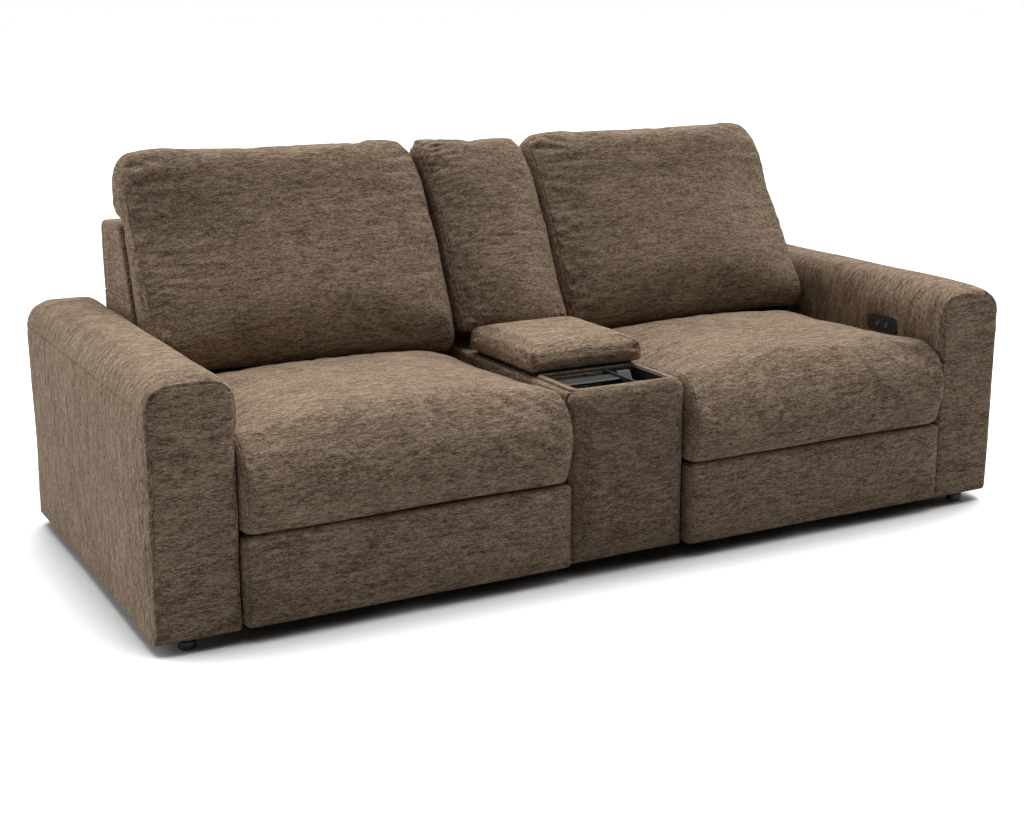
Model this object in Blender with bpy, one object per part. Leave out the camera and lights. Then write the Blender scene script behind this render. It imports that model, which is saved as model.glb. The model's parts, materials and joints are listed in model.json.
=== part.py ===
# Reclining loveseat: two power seats, a storage console between them and one arm at each end.
# Depths run back from the front of the arms, heights run up from the floor, both in metres.
# The front of the loveseat faces -Y, and left and right are as seen from the front.

import bmesh
import bpy
from math import cos, pi, radians, sin, tan
from mathutils import Matrix, Vector

# Widths, depth and heights of the whole loveseat
WIDTH = 2.360
ARM_WIDTH = 0.198
ARM_DEPTH = 1.065
ARM_HEIGHT = 0.603
CONSOLE_WIDTH = 0.326
SEAT_BAY = (WIDTH - CONSOLE_WIDTH) / 2 - ARM_WIDTH
FOOT_HEIGHT = 0.035
FOOT_RADIUS = 0.021
FOOT_INSET = 0.046
FOOT_TIP = 0.007

# Clearances
FIT = 0.0003
RUN = 0.0005
SIDE_GAP = 0.004
SEAM_GAP = 0.007

# Arms
COVER_THICK = 0.022
ARM_PAD = 0.080
ARM_FRAME_WALL = 0.015
ARM_OUTER_ROUND = 0.070
ARM_INNER_ROUND = 0.050
ARM_END_ROUND = 0.010

# Base rails and seat tracks
RAIL_FRONT = 0.220
RAIL_DEPTH = 0.040
RAIL_HEIGHT = 0.045
REAR_PANEL_HEIGHT = 0.430
REAR_PANEL_THICK = 0.020
REAR_PANEL_INSET = 0.015
TRACK_WIDTH = 0.020
TRACK_HEIGHT = 0.045
TRACK_FRONT = 0.130
ROLLER_RADIUS = 0.008

# Seats
SEAT_NOSE = 0.031
SEAT_EDGE = 0.452
SEAT_CROWN = 0.028
SEAT_THICK = 0.117
SEAT_SHORT = 0.110
SEAT_CREST = 0.280
NOSE_TUCK = 0.006
NOSE_RISE = 0.075
NOSE_ROUND = 0.088
APRON_REAR = 0.045
DECK_FRONT = 0.060
DECK_SHORT = 0.085
DECK_THICK = 0.030
PLATE_THICK = 0.006
PLATE_LOW = 0.036
SEAT_TRAVEL = 0.140

# Footrest and its folding links
FOOTREST_LOW = 0.040
FOOTREST_HIGH = 0.242
FOOTREST_PROUD = 0.010
FOOTREST_THICK = 0.045
FOOTREST_RELIEF = 0.028
FOOTREST_PLATE = 0.005
LINK_LENGTH = 0.170
LINK_WIDTH = 0.018
LINK_THICK = 0.005
LINK_FOLDED = radians(80)
LINK_OPEN = radians(12)
LINK_TILT = radians(6)
LINK_DROP = 0.021
PIN_RADIUS = 0.005
TUBE_RADIUS = 0.008

# Backs and headrests; heights are above the seat edge
SHELL_INSET = 0.045
SHELL_FOOT = 0.315
SHELL_LEAN = 0.139
SHELL_WALL = 0.018
SHELL_TOP = 0.350
SHELL_ROUND = 0.025
RECLINE_BEHIND = 0.030
RECLINE_DROP = 0.037
RECLINE_EAR = 0.022
RECLINE_PIN = 0.009
BACK_LOW = 0.037
BACK_CROWN = 0.028
HEAD_PIVOT_AHEAD = 0.059
HEAD_LUG_RADIUS = 0.0075
HEAD_LUG_SPREAD = 0.270
HEAD_LUG_THICK = 0.012
HEAD_PIN_RADIUS = 0.0035
HEAD_GAP = 0.0065
HEAD_TOP = 0.520
HEAD_CROWN = 0.012
HEAD_PLATE_HALF = 0.300

# Cushion profiles. A back cushion's points are (ahead of the shell's foot, above the seat edge,
# radius), and a headrest's are (behind the headrest pivot, above the seat edge, radius).
BACK_BELLY = (0.133, 0.095, 0.05)
BACK_WAIST = (0.065, 0.186, 0.08)
BACK_TOE = (0.149, 0.02)
BACK_UNDER = 0.065
BACK_CREASE = (0.028, 0.022)
HEAD_CHIN = (-0.020, 0.018)
HEAD_CHEEK = (-0.011, 0.040, 0.05)
HEAD_BROW = (0.010, 0.466, 0.06)
HEAD_PEAK = (0.053, 0.045)
HEAD_REAR = (0.123, 0.045)
HEAD_NAPE = (0.129, 0.070, 0.05)
HEAD_TAIL = (0.103, 0.012)
CENTRE_CHEST = (-0.037, 0.335, 0.06)
CENTRE_BROW = (0.007, 0.460, 0.08)
CENTRE_PEAK = (0.047, 0.045)
CENTRE_LOW = 0.047
CENTRE_CROWN = 0.014

# Recline motors
MOTOR_HEIGHT = 0.150
MOTOR_RADIUS = 0.030
MOTOR_LENGTH = 0.430
ROD_RADIUS = 0.010
ROD_FRONT = 0.330

# Console
CONSOLE_TOP = 0.455
CONSOLE_WALL = 0.018
CONSOLE_PANEL = 0.0345
TRAY_FRONT = 0.045
TRAY_REAR = 0.198
TRAY_HALF = 0.125
TRAY_DEEP = 0.080
TRAY_WALL = 0.003
TRAY_LIP = 0.007
TRAY_DIVIDER = 0.043
BIN_FRONT = 0.225
BIN_SHORT = 0.025
BIN_HALF = 0.140
LID_FRONT = 0.208
LID_SHORT = 0.190
LID_HINGE_RISE = 0.065
LID_BOARD = 0.0145
LID_THICK = 0.060
LID_CROWN = 0.010
HINGE_RADIUS = 0.004
KNUCKLE_RADIUS = 0.008

# Switch plates in the arms
SWITCH_DEPTH = 0.246
SWITCH_RISE = 0.021
SWITCH_LENGTH = 0.120
SWITCH_TALL = 0.048
SWITCH_DEEP = 0.0135
SWITCH_PROUD = 0.0023
BUTTON_RADIUS = 0.0072
BUTTON_SPREAD = 0.018
BUTTON_PROUD = 0.0012
BUTTON_DEEP = 0.0108
BUTTON_WELL = 0.0120

SHELL_REAR = ARM_DEPTH - SHELL_INSET
SHELL_FOOT_DEPTH = SHELL_REAR - SHELL_FOOT
SHELL_TOP_DEPTH = SHELL_FOOT_DEPTH + SHELL_LEAN
SEAT_REAR = SHELL_FOOT_DEPTH - SEAT_SHORT
DECK_REAR = SHELL_FOOT_DEPTH - DECK_SHORT
LID_HINGE_DEPTH = SHELL_FOOT_DEPTH - LID_SHORT
BIN_REAR = LID_HINGE_DEPTH - BIN_SHORT

SWITCH_HEIGHT = SEAT_EDGE + SWITCH_RISE

CONSOLE_HALF = CONSOLE_WIDTH / 2
CONSOLE_REAR = SHELL_FOOT_DEPTH - FIT
ARM_INNER = CONSOLE_HALF + SEAT_BAY
ARM_OUTER = ARM_INNER + ARM_WIDTH
BAY_CENTRE = CONSOLE_HALF + SEAT_BAY / 2
PAD_HALF = SEAT_BAY / 2 - SIDE_GAP
FRONT = (SEAT_NOSE - ARM_DEPTH) / 2
RAIL_LOW = FOOT_HEIGHT + 0.005
RAIL_TOP = RAIL_LOW + RAIL_HEIGHT
REAR_PANEL_BACK = ARM_DEPTH - REAR_PANEL_INSET
REAR_PANEL_FACE = REAR_PANEL_BACK - REAR_PANEL_THICK
MOTOR_FRONT = REAR_PANEL_FACE - MOTOR_LENGTH

# Side by side inside a seat bay, measured out from the middle of the bay
TRACK_OUT = SEAT_BAY / 2 - FIT
TRACK_IN = TRACK_OUT - TRACK_WIDTH
PLATE_OUT = TRACK_IN - RUN
PLATE_IN = PLATE_OUT - PLATE_THICK
DECK_HALF = PLATE_IN - FIT
OUTER_LAYER = (PLATE_IN - RUN - LINK_THICK, PLATE_IN - RUN)
INNER_LAYER = (OUTER_LAYER[0] - RUN - LINK_THICK, OUTER_LAYER[0] - RUN)

SEAT_LOW = SEAT_EDGE - SEAT_THICK
APRON_LOW = FOOTREST_HIGH + SEAM_GAP
DECK_TOP = SEAT_LOW - FIT
ROLLER_HEIGHT = RAIL_TOP + TRACK_HEIGHT / 2

# Pivots of the folding links, folded, as (depth, height)
LINK_AHEAD = Vector((-cos(LINK_TILT), sin(LINK_TILT)))
LINK_UP = Vector((sin(LINK_TILT), cos(LINK_TILT)))
LINK_STEP = LINK_AHEAD * LINK_LENGTH * cos(LINK_FOLDED)
LINK_RISE = LINK_UP * LINK_LENGTH * sin(LINK_FOLDED)
FOOTREST_BACK = FOOTREST_THICK - FOOTREST_PROUD
FRAME_BACK = FOOTREST_BACK + FIT + FOOTREST_PLATE
FRONT_HIGH = Vector((FRAME_BACK + 0.0105 + LINK_RISE[0], FOOTREST_HIGH - LINK_DROP))
MIDDLE_HIGH = FRONT_HIGH - LINK_STEP
REAR_HIGH = MIDDLE_HIGH - LINK_STEP
FRONT_LOW = FRONT_HIGH - LINK_RISE
MIDDLE_LOW = MIDDLE_HIGH - LINK_RISE
REAR_LOW = REAR_HIGH - LINK_RISE
FRONT_CROSS = (FRONT_HIGH + MIDDLE_LOW) / 2
REAR_CROSS = (MIDDLE_HIGH + REAR_LOW) / 2
SLOT_END = REAR_HIGH - LINK_UP * LINK_LENGTH * sin(LINK_OPEN)

# Pivots of the back, the headrest and the lid, as (depth, height)
RECLINE = Vector((SHELL_FOOT_DEPTH + RECLINE_BEHIND, SEAT_EDGE - RECLINE_DROP))
SHELL_LOW = RECLINE[1] + RECLINE_EAR + 0.010
SHELL_HIGH = SEAT_EDGE + SHELL_TOP
HEAD_PIVOT = Vector((SHELL_TOP_DEPTH - HEAD_PIVOT_AHEAD, SHELL_HIGH - RUN - HEAD_LUG_RADIUS))
LUMBAR_TOP = HEAD_PIVOT[1] - HEAD_LUG_RADIUS - 0.0015
HEAD_LOW = SHELL_HIGH + HEAD_GAP
LID_HINGE = Vector((LID_HINGE_DEPTH, CONSOLE_TOP + LID_HINGE_RISE))

for old in list(bpy.data.objects):
    bpy.data.objects.remove(old)


def material(name, colour, roughness, metallic=0.0):
    made = bpy.data.materials.new(name)
    made.use_nodes = True
    shader = made.node_tree.nodes["Principled BSDF"]
    shader.inputs["Base Color"].default_value = (*colour, 1.0)
    shader.inputs["Roughness"].default_value = roughness
    shader.inputs["Metallic"].default_value = metallic
    made.diffuse_color = (*colour, 1.0)
    return made


FABRIC = ((0.118, 0.084, 0.062), 0.95)
LINING = ((0.030, 0.026, 0.023), 0.90)
WOOD = ((0.48, 0.34, 0.20), 0.70)
STEEL = ((0.10, 0.10, 0.105), 0.45, 0.9)
BRIGHT_STEEL = ((0.55, 0.55, 0.56), 0.35, 1.0)
PLASTIC = ((0.012, 0.012, 0.013), 0.40)
BUTTON_PLASTIC = ((0.16, 0.16, 0.17), 0.35)


# Outlines are lists of flat points. Corners are (a, b, radius).
def rounded(corners, steps=3):
    points = []
    for i, (a, b, radius) in enumerate(corners):
        here = Vector((a, b))
        if not radius:
            points.append(here)
            continue
        back = (Vector(corners[i - 1][:2]) - here).normalized()
        ahead = (Vector(corners[(i + 1) % len(corners)][:2]) - here).normalized()
        half = back.angle(ahead) / 2
        middle = here + (back + ahead).normalized() * radius / sin(half)
        first = here + back * radius / tan(half) - middle
        last = here + ahead * radius / tan(half) - middle
        for k in range(steps + 1):
            points.append(middle + first.lerp(last, k / steps).normalized() * radius)
    return points


def stadium(start, end, width, steps=6):
    along = (end - start).normalized()
    across = Vector((-along[1], along[0]))
    points = []
    for middle, face in ((end, 1), (start, -1)):
        for k in range(steps + 1):
            turn = pi * (k / steps - 0.5)
            points.append(middle + (along * cos(turn) + across * sin(turn)) * face * width / 2)
    return points


def finger(low, high, middle, radius, steps=6):
    along = (middle - (low + high) / 2).normalized()
    across = Vector((-along[1], along[0]))
    if (high - low).dot(across) < 0:
        across = -across
    tip = []
    for k in range(steps + 1):
        turn = pi * (k / steps - 0.5)
        tip.append(middle + (along * cos(turn) + across * sin(turn)) * radius)
    return [high, low] + tip


# Solids are bmeshes. A prism on axis X takes (depth, height) points, on axis Y (x, height) points.
def prism(points, low, high, axis="X"):
    bm = bmesh.new()
    place = {"X": lambda a, b: (low, a, b), "Y": lambda a, b: (a, low, b)}[axis]
    step = {"X": (high - low, 0, 0), "Y": (0, high - low, 0)}[axis]
    face = bm.faces.new([bm.verts.new(place(a, b)) for a, b in points])
    made = bmesh.ops.extrude_face_region(bm, geom=[face])
    moved = [g for g in made["geom"] if isinstance(g, bmesh.types.BMVert)]
    bmesh.ops.translate(bm, verts=moved, vec=step)
    bmesh.ops.recalc_face_normals(bm, faces=bm.faces)
    return bm


def block(x0, x1, y0, y1, z0, z1):
    bm = bmesh.new()
    middle = Matrix.Translation(((x0 + x1) / 2, (y0 + y1) / 2, (z0 + z1) / 2))
    bmesh.ops.create_cube(bm, size=1, matrix=middle @ Matrix.Diagonal((x1 - x0, y1 - y0, z1 - z0, 1)))
    return bm


def rod(axis, low, high, middle, radius, sides=12, low_radius=None):
    bm = bmesh.new()
    turn = {"X": Matrix.Rotation(pi / 2, 4, "Y"), "Y": Matrix.Rotation(-pi / 2, 4, "X"), "Z": Matrix()}[axis]
    half = (low + high) / 2
    spot = {"X": (half, *middle), "Y": (middle[0], half, middle[1]), "Z": (*middle, half)}[axis]
    bmesh.ops.create_cone(
        bm, cap_ends=True, segments=sides, radius1=low_radius or radius, radius2=radius,
        depth=high - low, matrix=Matrix.Translation(spot) @ turn)
    return bm


def soft(bm, edges, width, segments=2):
    bmesh.ops.bevel(bm, geom=edges, offset=width, segments=segments, profile=0.5, affect="EDGES")
    return bm


def cushion(points, middle, half, end_round, crown, facing, draw, along):
    # A padded form along X: the outline shrinks into rounded ends, swells by crown towards facing
    # in the middle, and its ends are drawn in between their corners, measured along one flat axis.
    facing = Vector(facing).normalized()
    points = list(points)
    if sum(p[0] * q[1] - q[0] * p[1] for p, q in zip(points, points[1:] + points[:1])) < 0:
        points.reverse()
    outward = []
    for i, here in enumerate(points):
        ahead = (points[(i + 1) % len(points)] - here).normalized()
        back = (here - points[i - 1]).normalized()
        side = (ahead + back).normalized()
        outward.append(Vector((side[1], -side[0])))
    low = min(p[along] for p in points)
    high = max(p[along] for p in points)
    ends = [(0, end_round), (0.3 * end_round, 0.3 * end_round), (end_round, 0)]
    ends += [(0.30 * half, 0), (0.62 * half, 0)]
    stations = [(d - half, inset) for d, inset in ends] + [(0, 0)]
    stations += [(half - d, inset) for d, inset in reversed(ends)]
    bm = bmesh.new()
    loops = []
    for x, inset in stations:
        share = abs(x) / half
        ring = []
        for here, out in zip(points, outward):
            swell = crown * (1 - share ** 2) * max(0, out.dot(facing))
            spot = here - out * inset + facing * swell
            level = 2 * (here[along] - low) / (high - low) - 1
            pull = 1 - draw / half * share * (1 - level ** 2)
            ring.append(bm.verts.new((middle + x * pull, spot[0], spot[1])))
        loops.append([bm.edges.new((ring[i - 1], ring[i])) for i in range(len(ring))])
        if inset == end_round:
            bm.faces.new(ring)
    for first, second in zip(loops, loops[1:]):
        bmesh.ops.bridge_loops(bm, edges=first + second)
    bmesh.ops.recalc_face_normals(bm, faces=bm.faces)
    return bm


def mesh_object(name, bm):
    mesh = bpy.data.meshes.new(name)
    bm.to_mesh(mesh)
    bm.free()
    made = bpy.data.objects.new(name, mesh)
    bpy.context.scene.collection.objects.link(made)
    return made


def combined(name, base, joins, cuts):
    # One mesh from a base solid, the solids joined to it and the solids cut from it
    whole = mesh_object(name, base)
    tools = []
    for operation, solids in (("UNION", joins), ("DIFFERENCE", cuts)):
        for solid in solids:
            tool = mesh_object(name + "_tool", solid)
            step = whole.modifiers.new(operation, "BOOLEAN")
            step.operation = operation
            step.solver = "EXACT"
            step.object = tool
            tools.append(tool)
    bpy.context.view_layer.update()
    graph = bpy.context.evaluated_depsgraph_get()
    mesh = bpy.data.meshes.new_from_object(whole.evaluated_get(graph))
    for spent in tools + [whole]:
        bpy.data.objects.remove(spent)
    made = bpy.data.objects.new(name, mesh)
    bpy.context.scene.collection.objects.link(made)
    return made


# A body is an empty on its joint's axis. Pieces and later bodies hang from it.
def body(name, x=0.0, pivot=(0.0, 0.0), parent=None):
    empty = bpy.data.objects.new(name + "_body", None)
    bpy.context.scene.collection.objects.link(empty)
    empty["spot"] = (x, *pivot)
    empty.location = Vector((x, *pivot)) - (Vector(parent["spot"]) if parent else Vector((0, -FRONT, 0)))
    empty.parent = parent
    return empty


def piece(name, owner, finish, base, joins=(), cuts=()):
    made = combined(name, base, joins, cuts) if joins or cuts else mesh_object(name, base)
    made.data.transform(Matrix.Translation(-Vector(owner["spot"])))
    made.parent = owner
    made.data.materials.clear()
    made.data.materials.append(material(name, *finish))
    return made


def both(half_in, half_out, middle, make):
    # The same solid on both sides of a bay, from a function of its two x limits
    return [make(middle - half_out, middle - half_in), make(middle + half_in, middle + half_out)]


base = body("base")


def arm(side, hand):
    def across(a, b):
        return sorted((side * a, side * b))

    corners = [
        (side * ARM_INNER, FOOT_HEIGHT, 0), (side * ARM_INNER, ARM_HEIGHT, ARM_INNER_ROUND),
        (side * ARM_OUTER, ARM_HEIGHT, ARM_OUTER_ROUND), (side * ARM_OUTER, FOOT_HEIGHT, 0)]
    shape = prism(rounded(corners, 4), 0, ARM_DEPTH, "Y")
    rims = [e for e in shape.edges if abs(e.verts[0].co.y - e.verts[1].co.y) < 1e-6]
    rims = [e for e in rims if max(v.co.z for v in e.verts) > FOOT_HEIGHT + 0.001]
    soft(shape, rims, ARM_END_ROUND)
    in_low, in_high = across(ARM_INNER + COVER_THICK, ARM_OUTER - COVER_THICK)
    pad_low = ARM_HEIGHT - ARM_PAD
    hollow = block(in_low, in_high, COVER_THICK, ARM_DEPTH - COVER_THICK, -0.01, pad_low)
    face_low, face_high = across(ARM_INNER - 0.01, ARM_INNER + SWITCH_DEEP)
    long, tall = SWITCH_LENGTH / 2, SWITCH_TALL / 2
    pocket = block(face_low, face_high, SWITCH_DEPTH - long, SWITCH_DEPTH + long,
                   SWITCH_HEIGHT - tall, SWITCH_HEIGHT + tall)
    piece(hand + "_arm_cover", base, FABRIC, shape, cuts=[hollow, pocket])

    frame = block(in_low + FIT, in_high - FIT, COVER_THICK + FIT, ARM_DEPTH - COVER_THICK - FIT,
                  FOOT_HEIGHT, pad_low - FIT)
    wall = FIT + ARM_FRAME_WALL
    inside = block(in_low + wall, in_high - wall, COVER_THICK + wall, ARM_DEPTH - COVER_THICK - wall,
                   FOOT_HEIGHT + ARM_FRAME_WALL, pad_low + 0.01)
    piece(hand + "_arm_frame", base, WOOD, frame, cuts=[inside])

    for end, depth in (("front", FOOT_INSET), ("rear", ARM_DEPTH - FOOT_INSET)):
        spot = (side * (ARM_INNER + ARM_WIDTH * 0.58), depth)
        neck = rod("Z", FOOT_TIP - 0.001, FOOT_HEIGHT - FIT, spot, FOOT_RADIUS, 16)
        tip = rod("Z", 0, FOOT_TIP, spot, FOOT_RADIUS - 0.0005, 16, FOOT_RADIUS * 0.8)
        piece(f"{hand}_{end}_foot", base, PLASTIC, neck, joins=[tip])

    plate_low, plate_high = across(ARM_INNER - SWITCH_PROUD, ARM_INNER + SWITCH_DEEP - FIT)
    plate = block(plate_low, plate_high, SWITCH_DEPTH - long + FIT, SWITCH_DEPTH + long - FIT,
                  SWITCH_HEIGHT - tall + FIT, SWITCH_HEIGHT + tall - FIT)
    face = ARM_INNER - SWITCH_PROUD
    wells = []
    for offset in (-BUTTON_SPREAD, BUTTON_SPREAD):
        low, high = across(face - 0.005, face + BUTTON_WELL)
        wells.append(rod("X", low, high, (SWITCH_DEPTH + offset, SWITCH_HEIGHT), BUTTON_RADIUS + FIT, 16))
    piece(hand + "_switch_plate", base, PLASTIC, plate, cuts=wells)
    for use, offset in (("open", -BUTTON_SPREAD), ("close", BUTTON_SPREAD)):
        spot = (SWITCH_DEPTH + offset, SWITCH_HEIGHT)
        own = body(f"{hand}_{use}_button", side * (face - BUTTON_PROUD), spot, base)
        low, high = across(face - BUTTON_PROUD, face - BUTTON_PROUD + BUTTON_DEEP)
        piece(f"{hand}_{use}_button", own, BUTTON_PLASTIC, rod("X", low, high, spot, BUTTON_RADIUS, 16))


def base_rails():
    reach = ARM_INNER - FIT
    rail = block(-reach, reach, RAIL_FRONT, RAIL_FRONT + RAIL_DEPTH, RAIL_LOW, RAIL_TOP)
    piece("front_rail", base, WOOD, rail)
    panel = block(-reach, reach, REAR_PANEL_FACE, REAR_PANEL_BACK, RAIL_LOW, RAIL_LOW + REAR_PANEL_HEIGHT)
    piece("rear_panel", base, FABRIC, panel)


def tracks(middle, hand, sides):
    groove = ROLLER_RADIUS + RUN
    for where, sign in sides:
        low, high = sorted((middle + sign * TRACK_IN, middle + sign * TRACK_OUT))
        channel = block(low, high, TRACK_FRONT, REAR_PANEL_FACE - FIT,
                        RAIL_TOP + FIT, RAIL_TOP + TRACK_HEIGHT)
        cut_low, cut_high = sorted((middle + sign * (TRACK_IN - 0.01), middle + sign * (TRACK_IN + 0.013)))
        slot = block(cut_low, cut_high, TRACK_FRONT - 0.01, REAR_PANEL_FACE - 0.02,
                     ROLLER_HEIGHT - groove, ROLLER_HEIGHT + groove)
        piece(f"{hand}_{where}_track", base, STEEL, channel, cuts=[slot])


def motor(middle, hand):
    at = (middle, MOTOR_HEIGHT)
    tube = rod("Y", MOTOR_FRONT, REAR_PANEL_FACE - FIT, at, MOTOR_RADIUS, 16)
    gear = block(middle - 0.045, middle + 0.045, REAR_PANEL_FACE - 0.120, REAR_PANEL_FACE - FIT,
                 MOTOR_HEIGHT - 0.040, MOTOR_HEIGHT + 0.045)
    bore = rod("Y", MOTOR_FRONT - 0.01, REAR_PANEL_FACE - 0.080, at, ROD_RADIUS + RUN, 12)
    piece(hand + "_recline_motor", base, PLASTIC, tube, joins=[gear], cuts=[bore])


def back_shell(middle, half, low):
    # Box with a sloping open front, as (outer solid, hollow)
    points = rounded([
        (SHELL_FOOT_DEPTH, low, 0), (SHELL_FOOT_DEPTH, SHELL_LOW, 0), (SHELL_TOP_DEPTH, SHELL_HIGH, 0),
        (SHELL_REAR, SHELL_HIGH, SHELL_ROUND), (SHELL_REAR, low, 0)][0 if low < SHELL_LOW else 1:], 3)
    hollow = block(middle - half + SHELL_WALL, middle + half - SHELL_WALL, SHELL_FOOT_DEPTH - 0.1,
                   SHELL_REAR - SHELL_WALL, low + SHELL_WALL, SHELL_HIGH - SHELL_WALL)
    return prism(points, middle - half, middle + half), hollow


def before_shell(height):
    # Depth of a cushion's rear face at this height, just clear of the sloping front of a shell
    slope = (SHELL_TOP_DEPTH - SHELL_FOOT_DEPTH) / (SHELL_HIGH - SHELL_LOW)
    return SHELL_FOOT_DEPTH + slope * (height - SHELL_LOW) - 1.4 * FIT


def lumbar_corners(low):
    # Front edge of a back cushion, then its rear foot and its underside
    rear_low = SHELL_LOW + 0.010
    front = [(SHELL_FOOT_DEPTH - BACK_TOE[0], low, BACK_TOE[1])]
    for ahead, above, radius in (BACK_BELLY, BACK_WAIST):
        front.append((SHELL_FOOT_DEPTH - ahead, SEAT_EDGE + above, radius))
    under = (SHELL_FOOT_DEPTH - BACK_UNDER, low - 0.004, 0)
    return front, [(before_shell(rear_low), rear_low, 0), under]


def behind_pivot(point, height):
    return (HEAD_PIVOT[0] + point[0], height, point[-1])


def headrest_rear(top):
    # Top rear and underside of a headrest, from its peak round to its chin
    return [
        behind_pivot(HEAD_REAR, top), behind_pivot(HEAD_NAPE, HEAD_LOW + HEAD_NAPE[1]),
        behind_pivot(HEAD_TAIL, HEAD_LOW)]


def console():
    half = CONSOLE_HALF
    cut = half - CONSOLE_WALL
    body_front = CONSOLE_PANEL + FIT
    box = block(-half, half, body_front, CONSOLE_REAR, RAIL_TOP + FIT, CONSOLE_TOP)
    well_low = CONSOLE_TOP - TRAY_DEEP - 0.004
    well = block(-TRAY_HALF - FIT, TRAY_HALF + FIT, TRAY_FRONT - FIT, TRAY_REAR + FIT,
                 well_low, CONSOLE_TOP + 0.01)
    bin_low = RAIL_TOP + 0.035
    storage = block(-BIN_HALF, BIN_HALF, BIN_FRONT, BIN_REAR, bin_low, CONSOLE_TOP + 0.01)
    front_void = block(-cut, cut, 0, BIN_FRONT - CONSOLE_WALL,
                       RAIL_TOP + CONSOLE_WALL, well_low - CONSOLE_WALL)
    rear_void = block(-cut, cut, BIN_REAR + CONSOLE_WALL, CONSOLE_REAR + 0.01, RAIL_TOP + CONSOLE_WALL,
                      CONSOLE_TOP - CONSOLE_WALL)
    knuckle_half = BIN_HALF - 0.015
    lug = finger(
        Vector((LID_HINGE[0] - KNUCKLE_RADIUS, CONSOLE_TOP - 0.002)),
        Vector((LID_HINGE[0] + KNUCKLE_RADIUS, CONSOLE_TOP - 0.002)), LID_HINGE, KNUCKLE_RADIUS)
    lugs = [prism(lug, low, low + 0.020) for low in (-BIN_HALF - 0.008, BIN_HALF - 0.012)]
    bore = rod("X", -half, half, LID_HINGE, HINGE_RADIUS + FIT)
    piece("console_cabinet", base, FABRIC, box, joins=lugs, cuts=[well, storage, front_void, rear_void, bore])
    hinge = rod("X", -BIN_HALF - 0.006, BIN_HALF + 0.006, LID_HINGE, HINGE_RADIUS)
    piece("console_hinge_rod", base, BRIGHT_STEEL, hinge)

    edge = 0.010
    panel = prism(rounded([
        (0, FOOT_HEIGHT, edge), (CONSOLE_PANEL, FOOT_HEIGHT, 0), (CONSOLE_PANEL, CONSOLE_TOP + 0.005, 0.008),
        (0, CONSOLE_TOP + 0.005, 0.024)], 3), -half + 0.0015, half - 0.0015)
    piece("console_front_panel", base, FABRIC, panel)

    lip = block(-TRAY_HALF - TRAY_LIP, TRAY_HALF + TRAY_LIP, TRAY_FRONT - TRAY_LIP, TRAY_REAR + TRAY_LIP,
                CONSOLE_TOP + FIT, CONSOLE_TOP + 0.0035)
    tub = block(-TRAY_HALF, TRAY_HALF, TRAY_FRONT, TRAY_REAR, CONSOLE_TOP - TRAY_DEEP, CONSOLE_TOP + 0.002)
    pockets = []
    for left, right in ((-TRAY_HALF, TRAY_DIVIDER), (TRAY_DIVIDER, TRAY_HALF)):
        pockets.append(block(left + TRAY_WALL, right - TRAY_WALL, TRAY_FRONT + TRAY_WALL,
                             TRAY_REAR - TRAY_WALL, CONSOLE_TOP - TRAY_DEEP + TRAY_WALL, CONSOLE_TOP + 0.02))
    piece("console_tray", base, PLASTIC, lip, joins=[tub], cuts=pockets)

    lid = body("console_lid", 0, LID_HINGE, base)
    board_low = CONSOLE_TOP + 0.0006
    board_top = board_low + LID_BOARD
    rear = LID_HINGE[0] - KNUCKLE_RADIUS
    board = block(-half + 0.013, half - 0.013, LID_FRONT + 0.006, rear - 0.001, board_low, board_top)
    heel = block(-knuckle_half, knuckle_half, rear - 0.010, rear + 0.003,
                 board_low + 0.003, board_top - 0.002)
    leaf = block(-knuckle_half, knuckle_half, rear - 0.0005, rear + 0.0035, board_low + 0.004, LID_HINGE[1])
    roll = rod("X", -knuckle_half, knuckle_half, LID_HINGE, KNUCKLE_RADIUS, 12)
    bore = rod("X", -half, half, LID_HINGE, HINGE_RADIUS + FIT)
    piece("console_lid_board", lid, LINING, board, joins=[heel, leaf, roll], cuts=[bore])
    low = board_top + FIT
    pad = rounded([
        (LID_FRONT, low, 0.008), (rear - 0.002, low, 0.008), (rear - 0.002, low + LID_THICK, 0.020),
        (LID_FRONT, low + LID_THICK, 0.022)], 3)
    piece("console_lid_cushion", lid, FABRIC,
          cushion(pad, 0, half - 0.008, 0.012, LID_CROWN, (0, 1), 0.002, 0))

    shell, hollow = back_shell(0, half - 0.0015, RAIL_TOP + FIT)
    piece("center_back_frame", base, FABRIC, shell, cuts=[hollow])
    front, foot = lumbar_corners(CONSOLE_TOP + CENTRE_LOW)
    top = SEAT_EDGE + HEAD_TOP
    corners = front + [behind_pivot(p, SEAT_EDGE + p[1]) for p in (CENTRE_CHEST, CENTRE_BROW)]
    corners += [behind_pivot(CENTRE_PEAK, top)] + headrest_rear(top)
    corners += [(before_shell(HEAD_LOW), HEAD_LOW, 0)] + foot
    piece("center_back_cushion", base, FABRIC,
          cushion(rounded(corners, 2), 0, half - 0.003, 0.020, CENTRE_CROWN, (-1, 0), 0.003, 1))


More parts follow.
